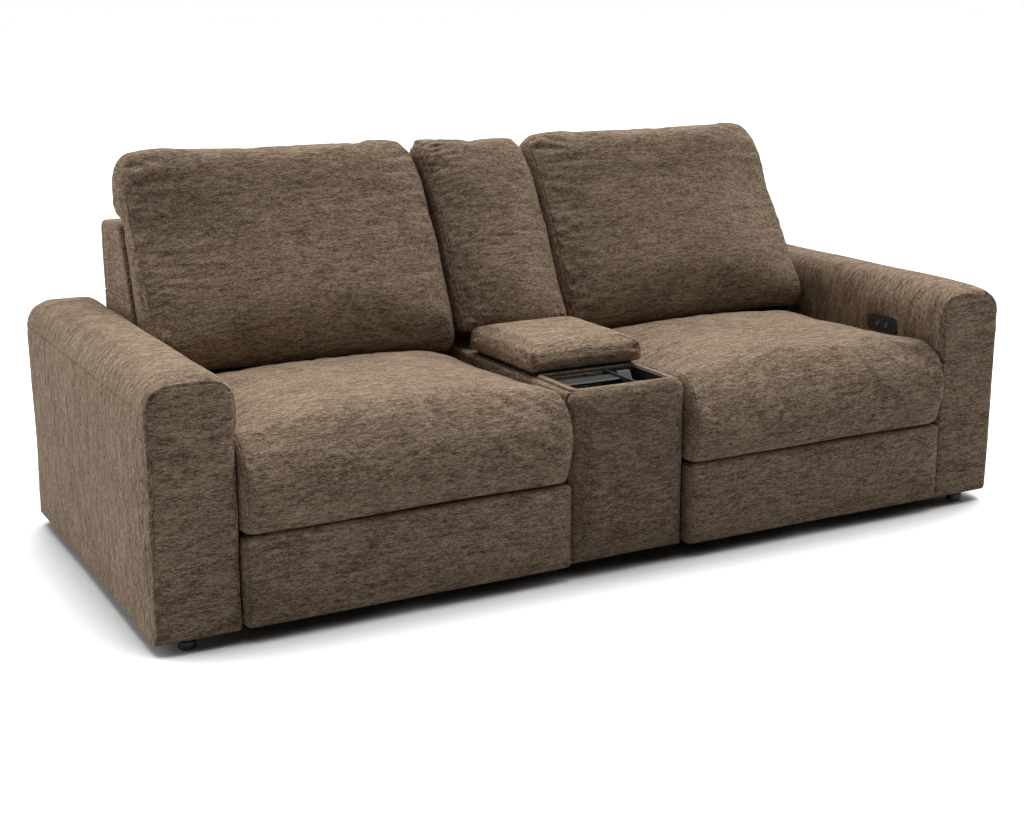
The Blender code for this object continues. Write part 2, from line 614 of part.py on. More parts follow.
def links(middle, hand, seat):
    # Two crossed pairs of bars on each side of the seat, each pair of bars joined by a tube.
    # Bars of the outer layer carry holes, bars of the inner layer carry the pins.
    def bars(start, end, layer):
        return both(*layer, middle, lambda a, b: prism(stadium(start, end, LINK_WIDTH), a, b))

    def tube(at, layer, radius=TUBE_RADIUS):
        reach = layer[0] + 0.0015
        return rod("X", middle - reach, middle + reach, at, radius, 12)

    def holes(*spots):
        found = []
        for at in spots:
            found += both(OUTER_LAYER[0] - 0.0001, OUTER_LAYER[1] + 0.01, middle,
                          lambda a, b: rod("X", a, b, at, PIN_RADIUS + FIT, 10))
        return found

    def pins(out, *spots):
        found = []
        for at in spots:
            found += both(INNER_LAYER[1] - 0.002, out, middle,
                          lambda a, b: rod("X", a, b, at, PIN_RADIUS, 10))
        return found

    flush = OUTER_LAYER[1]
    drive = body(hand + "_drive_link", middle, REAR_HIGH, seat)
    near, far = bars(REAR_HIGH, MIDDLE_LOW, OUTER_LAYER)
    drive_tube = tube(REAR_HIGH, OUTER_LAYER, 0.009)
    piece(hand + "_drive_link", drive, STEEL, near, joins=[far, drive_tube],
          cuts=holes(REAR_CROSS, MIDDLE_LOW) + both(OUTER_LAYER[0] + 0.0015, flush + 0.01, middle,
                     lambda a, b: rod("X", a, b, REAR_HIGH, PIN_RADIUS + FIT, 10)))

    slot = body(hand + "_slot_link", middle, REAR_CROSS, drive)
    near, far = bars(REAR_LOW, MIDDLE_HIGH, INNER_LAYER)
    piece(hand + "_slot_link", slot, STEEL, near,
          joins=[far, tube(REAR_CROSS, INNER_LAYER)] + pins(flush, REAR_CROSS, MIDDLE_HIGH)
          + pins(PLATE_OUT - FIT, REAR_LOW))

    lower = body(hand + "_lower_link", middle, MIDDLE_HIGH, slot)
    near, far = bars(MIDDLE_HIGH, FRONT_LOW, OUTER_LAYER)
    piece(hand + "_lower_link", lower, STEEL, near, joins=[far, tube(FRONT_LOW, OUTER_LAYER)],
          cuts=holes(MIDDLE_HIGH, FRONT_CROSS))

    upper = body(hand + "_upper_link", middle, MIDDLE_LOW, drive)
    near, far = bars(MIDDLE_LOW, FRONT_HIGH, INNER_LAYER)
    piece(hand + "_upper_link", upper, STEEL, near,
          joins=[far, tube(FRONT_CROSS, INNER_LAYER)] + pins(flush, MIDDLE_LOW, FRONT_CROSS, FRONT_HIGH))

    footrest = body(hand + "_footrest", middle, FRONT_HIGH, upper)
    frame_face = FOOTREST_BACK + FIT
    frame_top = FOOTREST_HIGH - FOOTREST_RELIEF - 0.008
    plate = block(middle - OUTER_LAYER[1], middle + OUTER_LAYER[1], frame_face, FRAME_BACK,
                  FOOTREST_LOW + 0.015, frame_top)
    ears = both(*OUTER_LAYER, middle, lambda a, b: prism(finger(
        Vector((frame_face + 0.002, frame_top - 0.026)), Vector((frame_face + 0.002, frame_top)),
        FRONT_HIGH, LINK_WIDTH / 2), a, b))
    piece(hand + "_footrest_frame", footrest, STEEL, plate, joins=ears, cuts=holes(FRONT_HIGH))
    pad = rounded([
        (-FOOTREST_PROUD, FOOTREST_LOW, 0.010), (-FOOTREST_PROUD, FOOTREST_HIGH, 0.012),
        (FOOTREST_BACK - FOOTREST_RELIEF, FOOTREST_HIGH, 0),
        (FOOTREST_BACK, FOOTREST_HIGH - FOOTREST_RELIEF, 0), (FOOTREST_BACK, FOOTREST_LOW, 0.004)], 3)
    piece(hand + "_footrest_pad", footrest, FABRIC,
          cushion(pad, middle, PAD_HALF, 0.008, 0.005, (-1, 0), 0.0015, 1))


def seat_unit(middle, hand, sides):
    seat = body(hand + "_seat", middle, (0.30, SEAT_LOW), base)
    deck = block(middle - DECK_HALF, middle + DECK_HALF, DECK_FRONT, DECK_REAR,
                 DECK_TOP - DECK_THICK, DECK_TOP)
    piece(hand + "_seat_deck", seat, WOOD, deck)

    nose = rounded([
        (APRON_REAR, APRON_LOW, 0.004), (-NOSE_TUCK, APRON_LOW, 0.010),
        (-SEAT_NOSE, APRON_LOW + NOSE_RISE, 0.08), (-SEAT_NOSE, SEAT_EDGE - 0.002, NOSE_ROUND),
        (SEAT_CREST, SEAT_EDGE + 0.008, 0), (SEAT_REAR, SEAT_EDGE + 0.002, 0.03),
        (SEAT_REAR, SEAT_LOW, 0), (APRON_REAR, SEAT_LOW, 0)], 4)
    piece(hand + "_seat_cushion", seat, FABRIC,
          cushion(nose, middle, PAD_HALF, 0.022, SEAT_CROWN, (0, 1), 0.003, 0))

    ear = RECLINE_EAR
    outline = rounded([
        (REAR_LOW[0] - 0.018, PLATE_LOW, 0.010), (REAR_LOW[0] + 0.030, PLATE_LOW, 0.010),
        (REAR_LOW[0] + 0.095, RAIL_TOP + 0.010, 0), (RECLINE[0] - 0.020, RAIL_TOP + 0.010, 0),
        (RECLINE[0] + ear, RECLINE[1] - 0.20, 0), (RECLINE[0] + ear, RECLINE[1] + ear, ear * 0.999),
        (RECLINE[0] - ear, RECLINE[1] + ear, ear * 0.999), (RECLINE[0] - ear, RECLINE[1] - 0.16, 0.02),
        (DECK_REAR - 0.01, SEAT_LOW - 0.004, 0), (REAR_LOW[0] - 0.018, SEAT_LOW - 0.004, 0.02)], 4)
    for where, sign in sides:
        def across(a, b):
            return sorted((middle + sign * a, middle + sign * b))

        plate = prism(outline, *across(PLATE_IN, PLATE_OUT))
        pivot_pin = rod("X", *across(PLATE_IN + 0.002, PLATE_IN - RUN - 0.003), REAR_HIGH, PIN_RADIUS, 10)
        recline_pin = rod("X", *across(PLATE_IN + 0.002, PLATE_IN - 0.012), RECLINE, RECLINE_PIN, 12)
        joins = [pivot_pin, recline_pin]
        for depth in (RAIL_FRONT + 0.080, DECK_REAR + 0.020):
            roller = across(PLATE_OUT - 0.002, PLATE_OUT + 0.011)
            joins.append(rod("X", *roller, (depth, ROLLER_HEIGHT), ROLLER_RADIUS, 12))
        slot = stadium(REAR_LOW, SLOT_END, 2 * (PIN_RADIUS + RUN))
        slot = prism(slot, *across(PLATE_IN - 0.01, PLATE_OUT + 0.005))
        piece(f"{hand}_{where}_plate", seat, STEEL, plate, joins=joins, cuts=[slot])

    shaft = rod("Y", ROD_FRONT, REAR_PANEL_FACE - 0.090, (middle, MOTOR_HEIGHT), ROD_RADIUS, 12)
    hanger = block(middle - 0.030, middle + 0.030, ROD_FRONT - 0.008, ROD_FRONT + 0.008,
                   MOTOR_HEIGHT - 0.018, DECK_TOP - DECK_THICK - FIT)
    piece(hand + "_motor_rod", seat, BRIGHT_STEEL, shaft, joins=[hanger])
    return seat


def back_unit(middle, hand, seat):
    back = body(hand + "_back", middle, RECLINE, seat)
    shell, hollow = back_shell(middle, PAD_HALF, SHELL_LOW)
    foot = prism(rounded([
        (RECLINE[0] - 0.034, SHELL_LOW + 0.004, 0), (RECLINE[0] + 0.034, SHELL_LOW + 0.004, 0),
        (RECLINE[0] + 0.034, RECLINE[1] - 0.026, 0.024), (RECLINE[0] - 0.034, RECLINE[1] - 0.026, 0.024)], 3),
        middle - DECK_HALF, middle + DECK_HALF)
    lug = (HEAD_LUG_SPREAD, HEAD_LUG_SPREAD + HEAD_LUG_THICK)
    reach = SHELL_TOP_DEPTH + 0.020
    lugs = both(*lug, middle, lambda a, b: prism(finger(
        Vector((reach, HEAD_PIVOT[1] - HEAD_LUG_RADIUS)), Vector((reach, HEAD_PIVOT[1] + HEAD_LUG_RADIUS)),
        HEAD_PIVOT, HEAD_LUG_RADIUS), a, b))
    pins = both(lug[0] - 0.0095, lug[0] + 0.003, middle,
                lambda a, b: rod("X", a, b, HEAD_PIVOT, HEAD_PIN_RADIUS, 10))
    bores = both(DECK_HALF - 0.0125, DECK_HALF + 0.01, middle,
                 lambda a, b: rod("X", a, b, RECLINE, RECLINE_PIN + RUN, 12))
    piece(hand + "_back_frame", back, FABRIC, shell, joins=[foot] + lugs + pins, cuts=[hollow] + bores)

    front, foot = lumbar_corners(SEAT_EDGE + BACK_LOW)
    crease = (HEAD_PIVOT[0] - BACK_CREASE[0], LUMBAR_TOP, BACK_CREASE[1])
    corners = front + [crease, (before_shell(LUMBAR_TOP), LUMBAR_TOP, 0)] + foot
    piece(hand + "_back_cushion", back, FABRIC,
          cushion(rounded(corners, 3), middle, PAD_HALF, 0.022, BACK_CROWN, (-1, 0), 0.004, 1))

    head = body(hand + "_headrest", middle, HEAD_PIVOT, back)
    plate_top = HEAD_LOW - FIT
    plate = block(middle - HEAD_PLATE_HALF, middle + HEAD_PLATE_HALF, HEAD_PIVOT[0] - 0.008,
                  HEAD_PIVOT[0] + 0.085, plate_top - 0.0035, plate_top)
    ear = (lug[0] - RUN - 0.008, lug[0] - RUN)
    ears = both(*ear, middle, lambda a, b: prism(finger(
        Vector((HEAD_PIVOT[0] + HEAD_LUG_RADIUS, plate_top - 0.001)),
        Vector((HEAD_PIVOT[0] - HEAD_LUG_RADIUS, plate_top - 0.001)),
        HEAD_PIVOT, HEAD_LUG_RADIUS), a, b))
    eyes = both(ear[0] - 0.005, ear[1] + 0.005, middle,
                lambda a, b: rod("X", a, b, HEAD_PIVOT, HEAD_PIN_RADIUS + FIT, 10))
    piece(hand + "_headrest_frame", head, STEEL, plate, joins=ears, cuts=eyes)
    top = SEAT_EDGE + HEAD_TOP
    corners = [
        behind_pivot(HEAD_CHIN, HEAD_LOW), behind_pivot(HEAD_CHEEK, HEAD_LOW + HEAD_CHEEK[1]),
        behind_pivot(HEAD_BROW, SEAT_EDGE + HEAD_BROW[1]), behind_pivot(HEAD_PEAK, top)]
    corners += headrest_rear(top)
    piece(hand + "_headrest_cushion", head, FABRIC,
          cushion(rounded(corners, 3), middle, PAD_HALF, 0.026, HEAD_CROWN, (-0.95, 0.31), 0.004, 1))


for side, hand in ((-1, "left"), (1, "right")):
    middle = side * BAY_CENTRE
    flanks = (("outer", side), ("inner", -side))
    arm(side, hand)
    tracks(middle, hand, flanks)
    motor(middle, hand)
    unit = seat_unit(middle, hand, flanks)
    links(middle, hand, unit)
    back_unit(middle, hand, unit)
base_rails()
console()
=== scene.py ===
import json
import math

import bmesh
import bpy
import numpy as np
from mathutils import Matrix, Vector, noise

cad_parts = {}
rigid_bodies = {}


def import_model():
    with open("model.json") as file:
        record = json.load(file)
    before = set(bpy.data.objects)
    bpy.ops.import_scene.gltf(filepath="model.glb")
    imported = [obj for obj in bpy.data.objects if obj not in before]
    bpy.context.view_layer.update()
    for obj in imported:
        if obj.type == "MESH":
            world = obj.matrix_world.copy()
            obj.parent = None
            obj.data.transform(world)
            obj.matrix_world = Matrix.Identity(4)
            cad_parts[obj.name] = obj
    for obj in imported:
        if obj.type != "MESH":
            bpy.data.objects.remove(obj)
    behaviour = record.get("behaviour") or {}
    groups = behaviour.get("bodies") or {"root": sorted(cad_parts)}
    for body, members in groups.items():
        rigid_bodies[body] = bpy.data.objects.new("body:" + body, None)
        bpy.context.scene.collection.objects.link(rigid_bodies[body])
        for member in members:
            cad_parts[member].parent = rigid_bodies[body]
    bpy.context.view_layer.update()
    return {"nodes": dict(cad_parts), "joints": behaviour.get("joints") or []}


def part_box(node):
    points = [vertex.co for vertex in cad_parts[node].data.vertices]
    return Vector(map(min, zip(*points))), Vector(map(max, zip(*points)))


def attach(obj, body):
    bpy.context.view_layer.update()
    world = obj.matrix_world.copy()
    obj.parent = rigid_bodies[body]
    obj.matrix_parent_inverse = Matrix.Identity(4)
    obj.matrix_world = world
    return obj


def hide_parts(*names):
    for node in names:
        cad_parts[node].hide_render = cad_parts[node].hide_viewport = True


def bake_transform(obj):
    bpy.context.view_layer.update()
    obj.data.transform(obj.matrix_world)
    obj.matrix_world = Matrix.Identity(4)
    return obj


for old in list(bpy.data.objects):
    bpy.data.objects.remove(old)
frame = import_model()
nodes = frame["nodes"]
scene = bpy.context.scene
hands = (("left", -1), ("right", 1))
print("frame loaded:", len(nodes), "nodes")


# Finishes
def addNode(tree, kind, values=None, **props):
    node = tree.nodes.new(kind)
    for key, value in props.items():
        setattr(node, key, value)
    for socket, value in (values or {}).items():
        if isinstance(value, bpy.types.NodeSocket):
            tree.links.new(value, node.inputs[socket])
        else:
            node.inputs[socket].default_value = value
    return node


def startFinish(name, roughness, metallic=0.0):
    finish = bpy.data.materials.new(name)
    finish.use_nodes = True
    tree = finish.node_tree
    shader = tree.nodes["Principled BSDF"]
    shader.inputs["Roughness"].default_value = roughness
    shader.inputs["Metallic"].default_value = metallic
    coords = addNode(tree, "ShaderNodeTexCoord").outputs["Object"]
    return finish, tree, shader, coords


def noiseAt(tree, vector, scale, detail=2.0, roughness=0.55):
    return addNode(tree, "ShaderNodeTexNoise", {
        "Vector": vector, "Scale": scale, "Detail": detail, "Roughness": roughness,
    }).outputs["Fac"]


def shaded(colour, share):
    return tuple(c * share for c in colour)


def tint(tree, shader, factor, stops):
    # Colour from a ramp of (position, colour)
    ramp = addNode(tree, "ShaderNodeValToRGB", {"Fac": factor})
    bar = ramp.color_ramp.elements
    while len(bar) < len(stops):
        bar.new(0.5)
    for spot, (position, colour) in zip(bar, stops):
        spot.position = position
        spot.color = (*colour, 1)
    tree.links.new(ramp.outputs["Color"], shader.inputs["Base Color"])


def shineFrom(tree, shader, factor, low, high):
    shine = addNode(tree, "ShaderNodeMapRange", {"Value": factor, 3: low, 4: high})
    tree.links.new(shine.outputs[0], shader.inputs["Roughness"])


def bumpFrom(tree, shader, height, strength, distance):
    bump = addNode(tree, "ShaderNodeBump", {
        "Height": height, "Strength": strength, "Distance": distance})
    tree.links.new(bump.outputs["Normal"], shader.inputs["Normal"])


# Sizes of a pattern are cycles per metre, shares and offset mix them, rampAt places the three tones
chenilleLook = {
    "dark": (0.070, 0.045, 0.028), "ground": (0.235, 0.167, 0.113), "light": (0.500, 0.385, 0.280),
    "patch": 9.0, "streak": 24.0, "dash": 76.0, "speck": 190.0, "yarn": 400.0,
    "shares": (0.10, 0.22, 0.36, 0.30, 0.20), "offset": -0.09, "rampAt": (0.39, 0.49, 0.61),
    "shortGrain": 0.40, "roughness": 0.93, "specular": 0.12, "bump": 0.45, "bumpDepth": 0.0011,
    "sheen": 0.10, "sheenRoughness": 0.45, "sheenTint": (0.85, 0.68, 0.52),
}


def chenille(name, grain, paintedLightScale=1.0):
    # grain is how much finer the pattern is across each axis; the last argument scales the three tones,
    # painting shade (below 1) or light (above 1) onto a whole panel
    look = chenilleLook
    finish, tree, shader, coords = startFinish(name, look["roughness"])
    blunt = [1 + (g - 1) * look["shortGrain"] for g in grain]
    long = addNode(tree, "ShaderNodeMapping", {"Vector": coords, "Scale": grain}).outputs["Vector"]
    short = addNode(tree, "ShaderNodeMapping", {"Vector": coords, "Scale": blunt}).outputs["Vector"]
    patch = noiseAt(tree, short, look["patch"], 3)
    streak = noiseAt(tree, long, look["streak"], 2, 0.6)
    dash = noiseAt(tree, long, look["dash"], 2, 0.6)
    speck = noiseAt(tree, short, look["speck"], 2, 0.6)
    yarn = noiseAt(tree, short, look["yarn"], 1)
    total = look["offset"]
    for part, share in zip((patch, streak, dash, speck, yarn), look["shares"]):
        step = addNode(tree, "ShaderNodeMath", {0: part, 1: share, 2: total}, operation="MULTIPLY_ADD")
        total = step.outputs[0]
    # the tones carry the panel's painted light or painted shade
    tones = [shaded(look[tone], paintedLightScale) for tone in ("dark", "ground", "light")]
    tint(tree, shader, total, list(zip(look["rampAt"], tones)))
    shader.inputs["Sheen Weight"].default_value = look["sheen"]
    shader.inputs["Sheen Roughness"].default_value = look["sheenRoughness"]
    shader.inputs["Sheen Tint"].default_value = (*look["sheenTint"], 1)
    shader.inputs["Specular IOR Level"].default_value = look["specular"]
    height = addNode(tree, "ShaderNodeMath", {0: dash, 1: speck}, operation="ADD").outputs[0]
    bumpFrom(tree, shader, height, look["bump"], look["bumpDepth"])
    return finish


mouldedLook = {"smear": 22.0, "paler": 1.2, "darker": 0.8, "shine": (-0.06, 0.08),
               "grain": 1500.0, "bump": 0.12, "bumpDepth": 0.0003}


def moulded(name, colour, roughness, grainSize=mouldedLook["grain"]):
    look = mouldedLook
    finish, tree, shader, coords = startFinish(name, roughness)
    grain = noiseAt(tree, coords, grainSize, 2)
    smear = noiseAt(tree, coords, look["smear"], 3)
    tint(tree, shader, smear, [(0.3, shaded(colour, look["darker"])), (0.7, shaded(colour, look["paler"]))])
    shineFrom(tree, shader, smear, *[roughness + change for change in look["shine"]])
    bumpFrom(tree, shader, grain, look["bump"], look["bumpDepth"])
    return finish


coatedLook = {"rub": 38.0, "rampAt": (0.45, 0.72), "shine": (-0.08, 0.14),
              "grain": 900.0, "bump": 0.10, "bumpDepth": 0.0003}


def coatedSteel(name, colour, worn, roughness, metallic):
    look = coatedLook
    finish, tree, shader, coords = startFinish(name, roughness, metallic)
    rub = noiseAt(tree, coords, look["rub"], 5, 0.65)
    tint(tree, shader, rub, list(zip(look["rampAt"], (colour, worn))))
    shineFrom(tree, shader, rub, *[roughness + change for change in look["shine"]])
    bumpFrom(tree, shader, noiseAt(tree, coords, look["grain"], 2), look["bump"], look["bumpDepth"])
    return finish


plyLook = {"roughness": 0.68, "grain": (2.0, 26.0, 26.0), "figure": 3.0, "bump": 0.25, "bumpDepth": 0.0006,
           "tones": [(0.30, (0.30, 0.19, 0.10)), (0.52, (0.46, 0.32, 0.18)), (0.74, (0.58, 0.43, 0.26))]}


def plyWood(name):
    look = plyLook
    finish, tree, shader, coords = startFinish(name, look["roughness"])
    along = addNode(tree, "ShaderNodeMapping", {"Vector": coords, "Scale": look["grain"]}).outputs["Vector"]
    figure = noiseAt(tree, along, look["figure"], 6, 0.62)
    tint(tree, shader, figure, look["tones"])
    bumpFrom(tree, shader, figure, look["bump"], look["bumpDepth"])
    return finish


liningLook = {"roughness": 0.95, "felt": 420.0, "paler": 1.5, "darker": 0.6, "sheen": 0.1,
              "bump": 0.4, "bumpDepth": 0.0008}


def liningCloth(name, colour):
    look = liningLook
    finish, tree, shader, coords = startFinish(name, look["roughness"])
    felt = noiseAt(tree, coords, look["felt"], 4, 0.7)
    tint(tree, shader, felt, [(0.3, shaded(colour, look["darker"])), (0.7, shaded(colour, look["paler"]))])
    shader.inputs["Sheen Weight"].default_value = look["sheen"]
    bumpFrom(tree, shader, felt, look["bump"], look["bumpDepth"])
    return finish


grainAcross = chenille("chenilleAcross", (1.0, 5.0, 5.0))        # streaks run along the sofa
grainBoxing = chenille("chenilleBoxing", (4.5, 1.3, 4.5))        # side panels of the cushions
grainArm = chenille("chenilleArm", (1.0, 4.5, 1.0))              # streaks run up the arm and over it
grainFrontPaintedShade = chenille("chenilleFrontPaintedShade", (1.0, 5.0, 5.0), 0.78)    # console front, tones darkened by 22 % as painted shade
grainLidPaintedLight = chenille("chenilleLidPaintedLight", (1.0, 5.0, 5.0), 1.14)        # lid, tones lightened by 14 % as painted light
blackPlastic = moulded("blackPlastic", (0.012, 0.012, 0.013), 0.42)
glossPlastic = moulded("glossPlastic", (0.022, 0.023, 0.025), 0.34, 900.0)
greyPlastic = moulded("greyPlastic", (0.085, 0.088, 0.092), 0.32)
enamel = coatedSteel("enamel", (0.022, 0.022, 0.024), (0.060, 0.058, 0.056), 0.64, 0.0)
zinc = coatedSteel("zinc", (0.50, 0.50, 0.50), (0.66, 0.65, 0.62), 0.30, 1.0)
plywood = plyWood("plywood")
lining = liningCloth("lining", (0.022, 0.020, 0.018))
print("finishes ready")


# Mesh helpers
def objectFrom(name, bm, finishes, smooth=True):
    mesh = bpy.data.meshes.new(name)
    bm.to_mesh(mesh)
    bm.free()
    for finish in finishes:
        mesh.materials.append(finish)
    mesh.polygons.foreach_set("use_smooth", [smooth] * len(mesh.polygons))
    made = bpy.data.objects.new(name, mesh)
    scene.collection.objects.link(made)
    return made


def place(made, body, slot, *stoodFor):
    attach(made, body)
    if stoodFor:
        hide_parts(*stoodFor)
    return made


def vertsIn(geom):
    return [g for g in geom if isinstance(g, bmesh.types.BMVert)]


def sweep(points, axis, low, high, steps=1):
    # A closed outline pushed along X or Y, from a few vertices
    bm = bmesh.new()
    spots = [(low, a, b) if axis == "X" else (a, low, b) for a, b in points]
    front = bm.faces.new([bm.verts.new(spot) for spot in spots])
    push = Vector((1, 0, 0) if axis == "X" else (0, 1, 0)) * (high - low) / steps
    for step in range(steps):
        grown = bmesh.ops.extrude_face_region(bm, geom=[front])["geom"]
        bmesh.ops.translate(bm, verts=vertsIn(grown), vec=push)
        old = front
        front = [g for g in grown if isinstance(g, bmesh.types.BMFace)][0]
        if step:
            bm.faces.remove(old)
    bmesh.ops.recalc_face_normals(bm, faces=bm.faces)
    return bm


def roundEdges(bm, edges, width, segments=3):
    bmesh.ops.bevel(bm, geom=list(edges), offset=width, offset_type="OFFSET", segments=segments,
                    profile=0.5, affect="EDGES", material=-1, clamp_overlap=True)
    return bm


def flatEdges(bm, axis, level):
    # Edges that lie in one plane across an axis
    return [e for e in bm.edges if all(abs(v.co[axis] - level) < 1e-5 for v in e.verts)]


def plainBox(low, high):
    bm = bmesh.new()
    size = Vector(high) - Vector(low)
    spot = Matrix.Translation((Vector(low) + Vector(high)) / 2) @ Matrix.Diagonal((*size, 1))
    bmesh.ops.create_cube(bm, size=1, matrix=spot)
    return bm


def roundedBox(low, high, width, segments=3):
    bm = plainBox(low, high)
    return roundEdges(bm, bm.edges, width, segments)


def joined(bm, parts):
    # Adds the parts to bm, in their order
    for part in parts:
        mesh = bpy.data.meshes.new("part")
        part.to_mesh(mesh)
        part.free()
        bm.from_mesh(mesh)
        bpy.data.meshes.remove(mesh)
    return bm


def cutAll(bm, spot, across):
    bmesh.ops.bisect_plane(bm, geom=bm.verts[:] + bm.edges[:] + bm.faces[:], dist=1e-5,
                           plane_co=spot, plane_no=across)


def gridded(bm, axis, step):
    # Even cuts across one axis, so a flat panel can be seamed and waved
    low = min(v.co[axis] for v in bm.verts)
    high = max(v.co[axis] for v in bm.verts)
    across = Vector([1 if i == axis else 0 for i in range(3)])
    count = max(2, round((high - low) / step))
    for turn in range(1, count):
        cutAll(bm, across * (low + (high - low) * turn / count), across)
    return bm


def waved(bm, height, size, seed):
    bm.normal_update()
    for vert in bm.verts:
        spot = vert.co * size
        vert.co += vert.normal * height * noise.noise(Vector((spot.x + seed, spot.y, spot.z)))


def jointSpot(name):
    return [j["pos_m"] for j in frame["joints"] if j["name"] == name][0]


def nodeCopy(node):
    bm = bmesh.new()
    bm.from_mesh(nodes[node].data)
    bmesh.ops.remove_doubles(bm, verts=bm.verts, dist=1e-5)
    return bm


def evaluatedMesh(made):
    bpy.context.view_layer.update()
    graph = bpy.context.evaluated_depsgraph_get()
    return bpy.data.meshes.new_from_object(made.evaluated_get(graph))


def meshArrays(mesh):
    spots = np.empty(len(mesh.vertices) * 3)
    mesh.vertices.foreach_get("co", spots)
    facing = np.empty(len(mesh.vertices) * 3)
    mesh.vertex_normals.foreach_get("vector", facing)
    return spots.reshape(-1, 3), facing.reshape(-1, 3)


def setSpots(mesh, spots):
    mesh.vertices.foreach_set("co", spots.ravel())
    mesh.update()


# Padded forms: voxel remesh, cloth with pressure, one subdivision, then seams
clothSettings = {"frames": 20, "quality": 4, "mass": 0.30, "stretch": 14.0, "shear": 6.0, "bend": 0.35,
                 "quickShare": 0.55}


def voxelMesh(name, bm, size, rounds):
    made = objectFrom(name, bm, [])
    remesh = made.modifiers.new("voxels", "REMESH")
    remesh.mode = "VOXEL"
    remesh.voxel_size = size
    mesh = evaluatedMesh(made)
    bpy.data.objects.remove(made)
    return eased(mesh, rounds)


def eased(mesh, rounds, chosen=None):
    # Takes the small creases out of a form, or out of the chosen part of a cover
    bm = bmesh.new()
    bm.from_mesh(mesh)
    bm.normal_update()
    verts = [v for v in bm.verts if chosen is None or chosen(v)]
    for turn in range(rounds):
        bmesh.ops.smooth_vert(bm, verts=verts, factor=0.5,
                              use_axis_x=True, use_axis_y=True, use_axis_z=True)
    bm.to_mesh(mesh)
    bm.free()
    return mesh


def inflated(name, mesh, held, pressure, slack, cap):
    # Cloth run on the remeshed form; held is 1 where the cover is fixed
    begin, facing = meshArrays(mesh)
    made = bpy.data.objects.new(name, mesh)
    scene.collection.objects.link(made)
    group = made.vertex_groups.new(name="held")
    for level in np.unique(np.round(held, 1)):
        if level > 0:
            group.add(np.flatnonzero(np.round(held, 1) == level).tolist(), float(level), "REPLACE")
    cloth = made.modifiers.new("cover", "CLOTH")
    rules = cloth.settings
    rules.quality = clothSettings["quality"]
    rules.mass = clothSettings["mass"]
    rules.tension_stiffness = rules.compression_stiffness = clothSettings["stretch"]
    rules.shear_stiffness = clothSettings["shear"]
    rules.bending_stiffness = clothSettings["bend"]
    rules.vertex_group_mass = "held"
    rules.use_pressure = True
    rules.uniform_pressure_force = pressure
    rules.shrink_min = -slack
    rules.effector_weights.gravity = 0
    cloth.collision_settings.use_collision = False
    cloth.point_cache.frame_start = 1
    cloth.point_cache.frame_end = clothSettings["frames"]
    for step in range(1, clothSettings["frames"] + 1):
        scene.frame_set(step)
    swollen = evaluatedMesh(made)
    after = meshArrays(swollen)[0]
    scene.frame_set(1)
    bpy.data.objects.remove(made)
    move = after - begin
    far = np.linalg.norm(move, axis=1)
    limit = cap * np.tanh(far / cap) / np.maximum(far, 1e-9)
    setSpots(mesh, begin + move * limit[:, None])
    return mesh


def doubled(mesh):
    made = bpy.data.objects.new("doubled", mesh)
    scene.collection.objects.link(made)
    finer = made.modifiers.new("finer", "SUBSURF")
    finer.levels = finer.render_levels = 1
    fine = evaluatedMesh(made)
    bpy.data.objects.remove(made)
    return fine


seamHalf = 0.003    # half the width of a sewn line
seamLip = 0.12      # rise of its edges, as a share of its depth


def seamCut(bm, spot, across, depth, halfWidth=seamHalf, keep=None):
    # Sewn line: three cuts side by side, the middle one drawn in and the outer two raised a little
    across = Vector(across).normalized()
    middle = []
    lips = []
    for offset in (-halfWidth, halfWidth, 0.0):
        faces = [f for f in bm.faces if keep is None or keep(f)]
        geom = list({g for f in faces for g in (*f.verts, *f.edges, f)})
        cut = bmesh.ops.bisect_plane(bm, geom=geom, dist=2e-4,
                                     plane_co=Vector(spot) + across * offset, plane_no=across)
        if offset:
            lips += vertsIn(cut["geom_cut"])
        else:
            middle = vertsIn(cut["geom_cut"])
    bm.normal_update()
    moves = [(v, -v.normal * depth) for v in middle] + [(v, v.normal * depth * seamLip) for v in lips]
    for vert, move in moves:
        vert.co += move


def seamsAt(axis, lines, depth):
    across = Vector([1 if i == axis else 0 for i in range(3)])
    return [(across * level, across, depth) for level in lines]


def swell(spots, size, seed, count=7):
    # Smooth seeded waves, about -1 to 1
    draw = np.random.default_rng(seed)
    total = np.zeros(len(spots))
    for turn in range(count):
        way = draw.normal(size=3)
        way *= size * draw.uniform(0.6, 1.5) / np.linalg.norm(way)
        total += np.sin(spots @ way + draw.uniform(0, math.tau))
    return total / math.sqrt(count * 2)


def gather(spots, facing, axis, level, reach, height, seed):
    # Small puckers that run away from a seam and fade out
    off = np.abs(spots[:, axis] - level)
    near = (off < reach * 3) & (np.abs(facing[:, axis]) < 0.85)
    flat = spots[near].copy()
    flat[:, axis] = off[near] * 0.25
    calm = np.clip(0.6 + 0.7 * swell(flat, 9.0, seed + 1), 0.25, 1.4)
    wave = swell(flat, 290.0, seed) + 0.8 * swell(flat, 150.0, seed + 2)
    fade = np.exp(-(off[near] / reach) ** 2) * np.clip(off[near] / 0.004, 0.3, 1)
    spots[near] += facing[near] * (wave * calm * fade * height)[:, None]


settleSize = 16.0


def settle(spots, facing, height, seed):
    # Slow hollows and swells of a used cover
    spots += facing * (swell(spots, settleSize, seed) * height)[:, None]


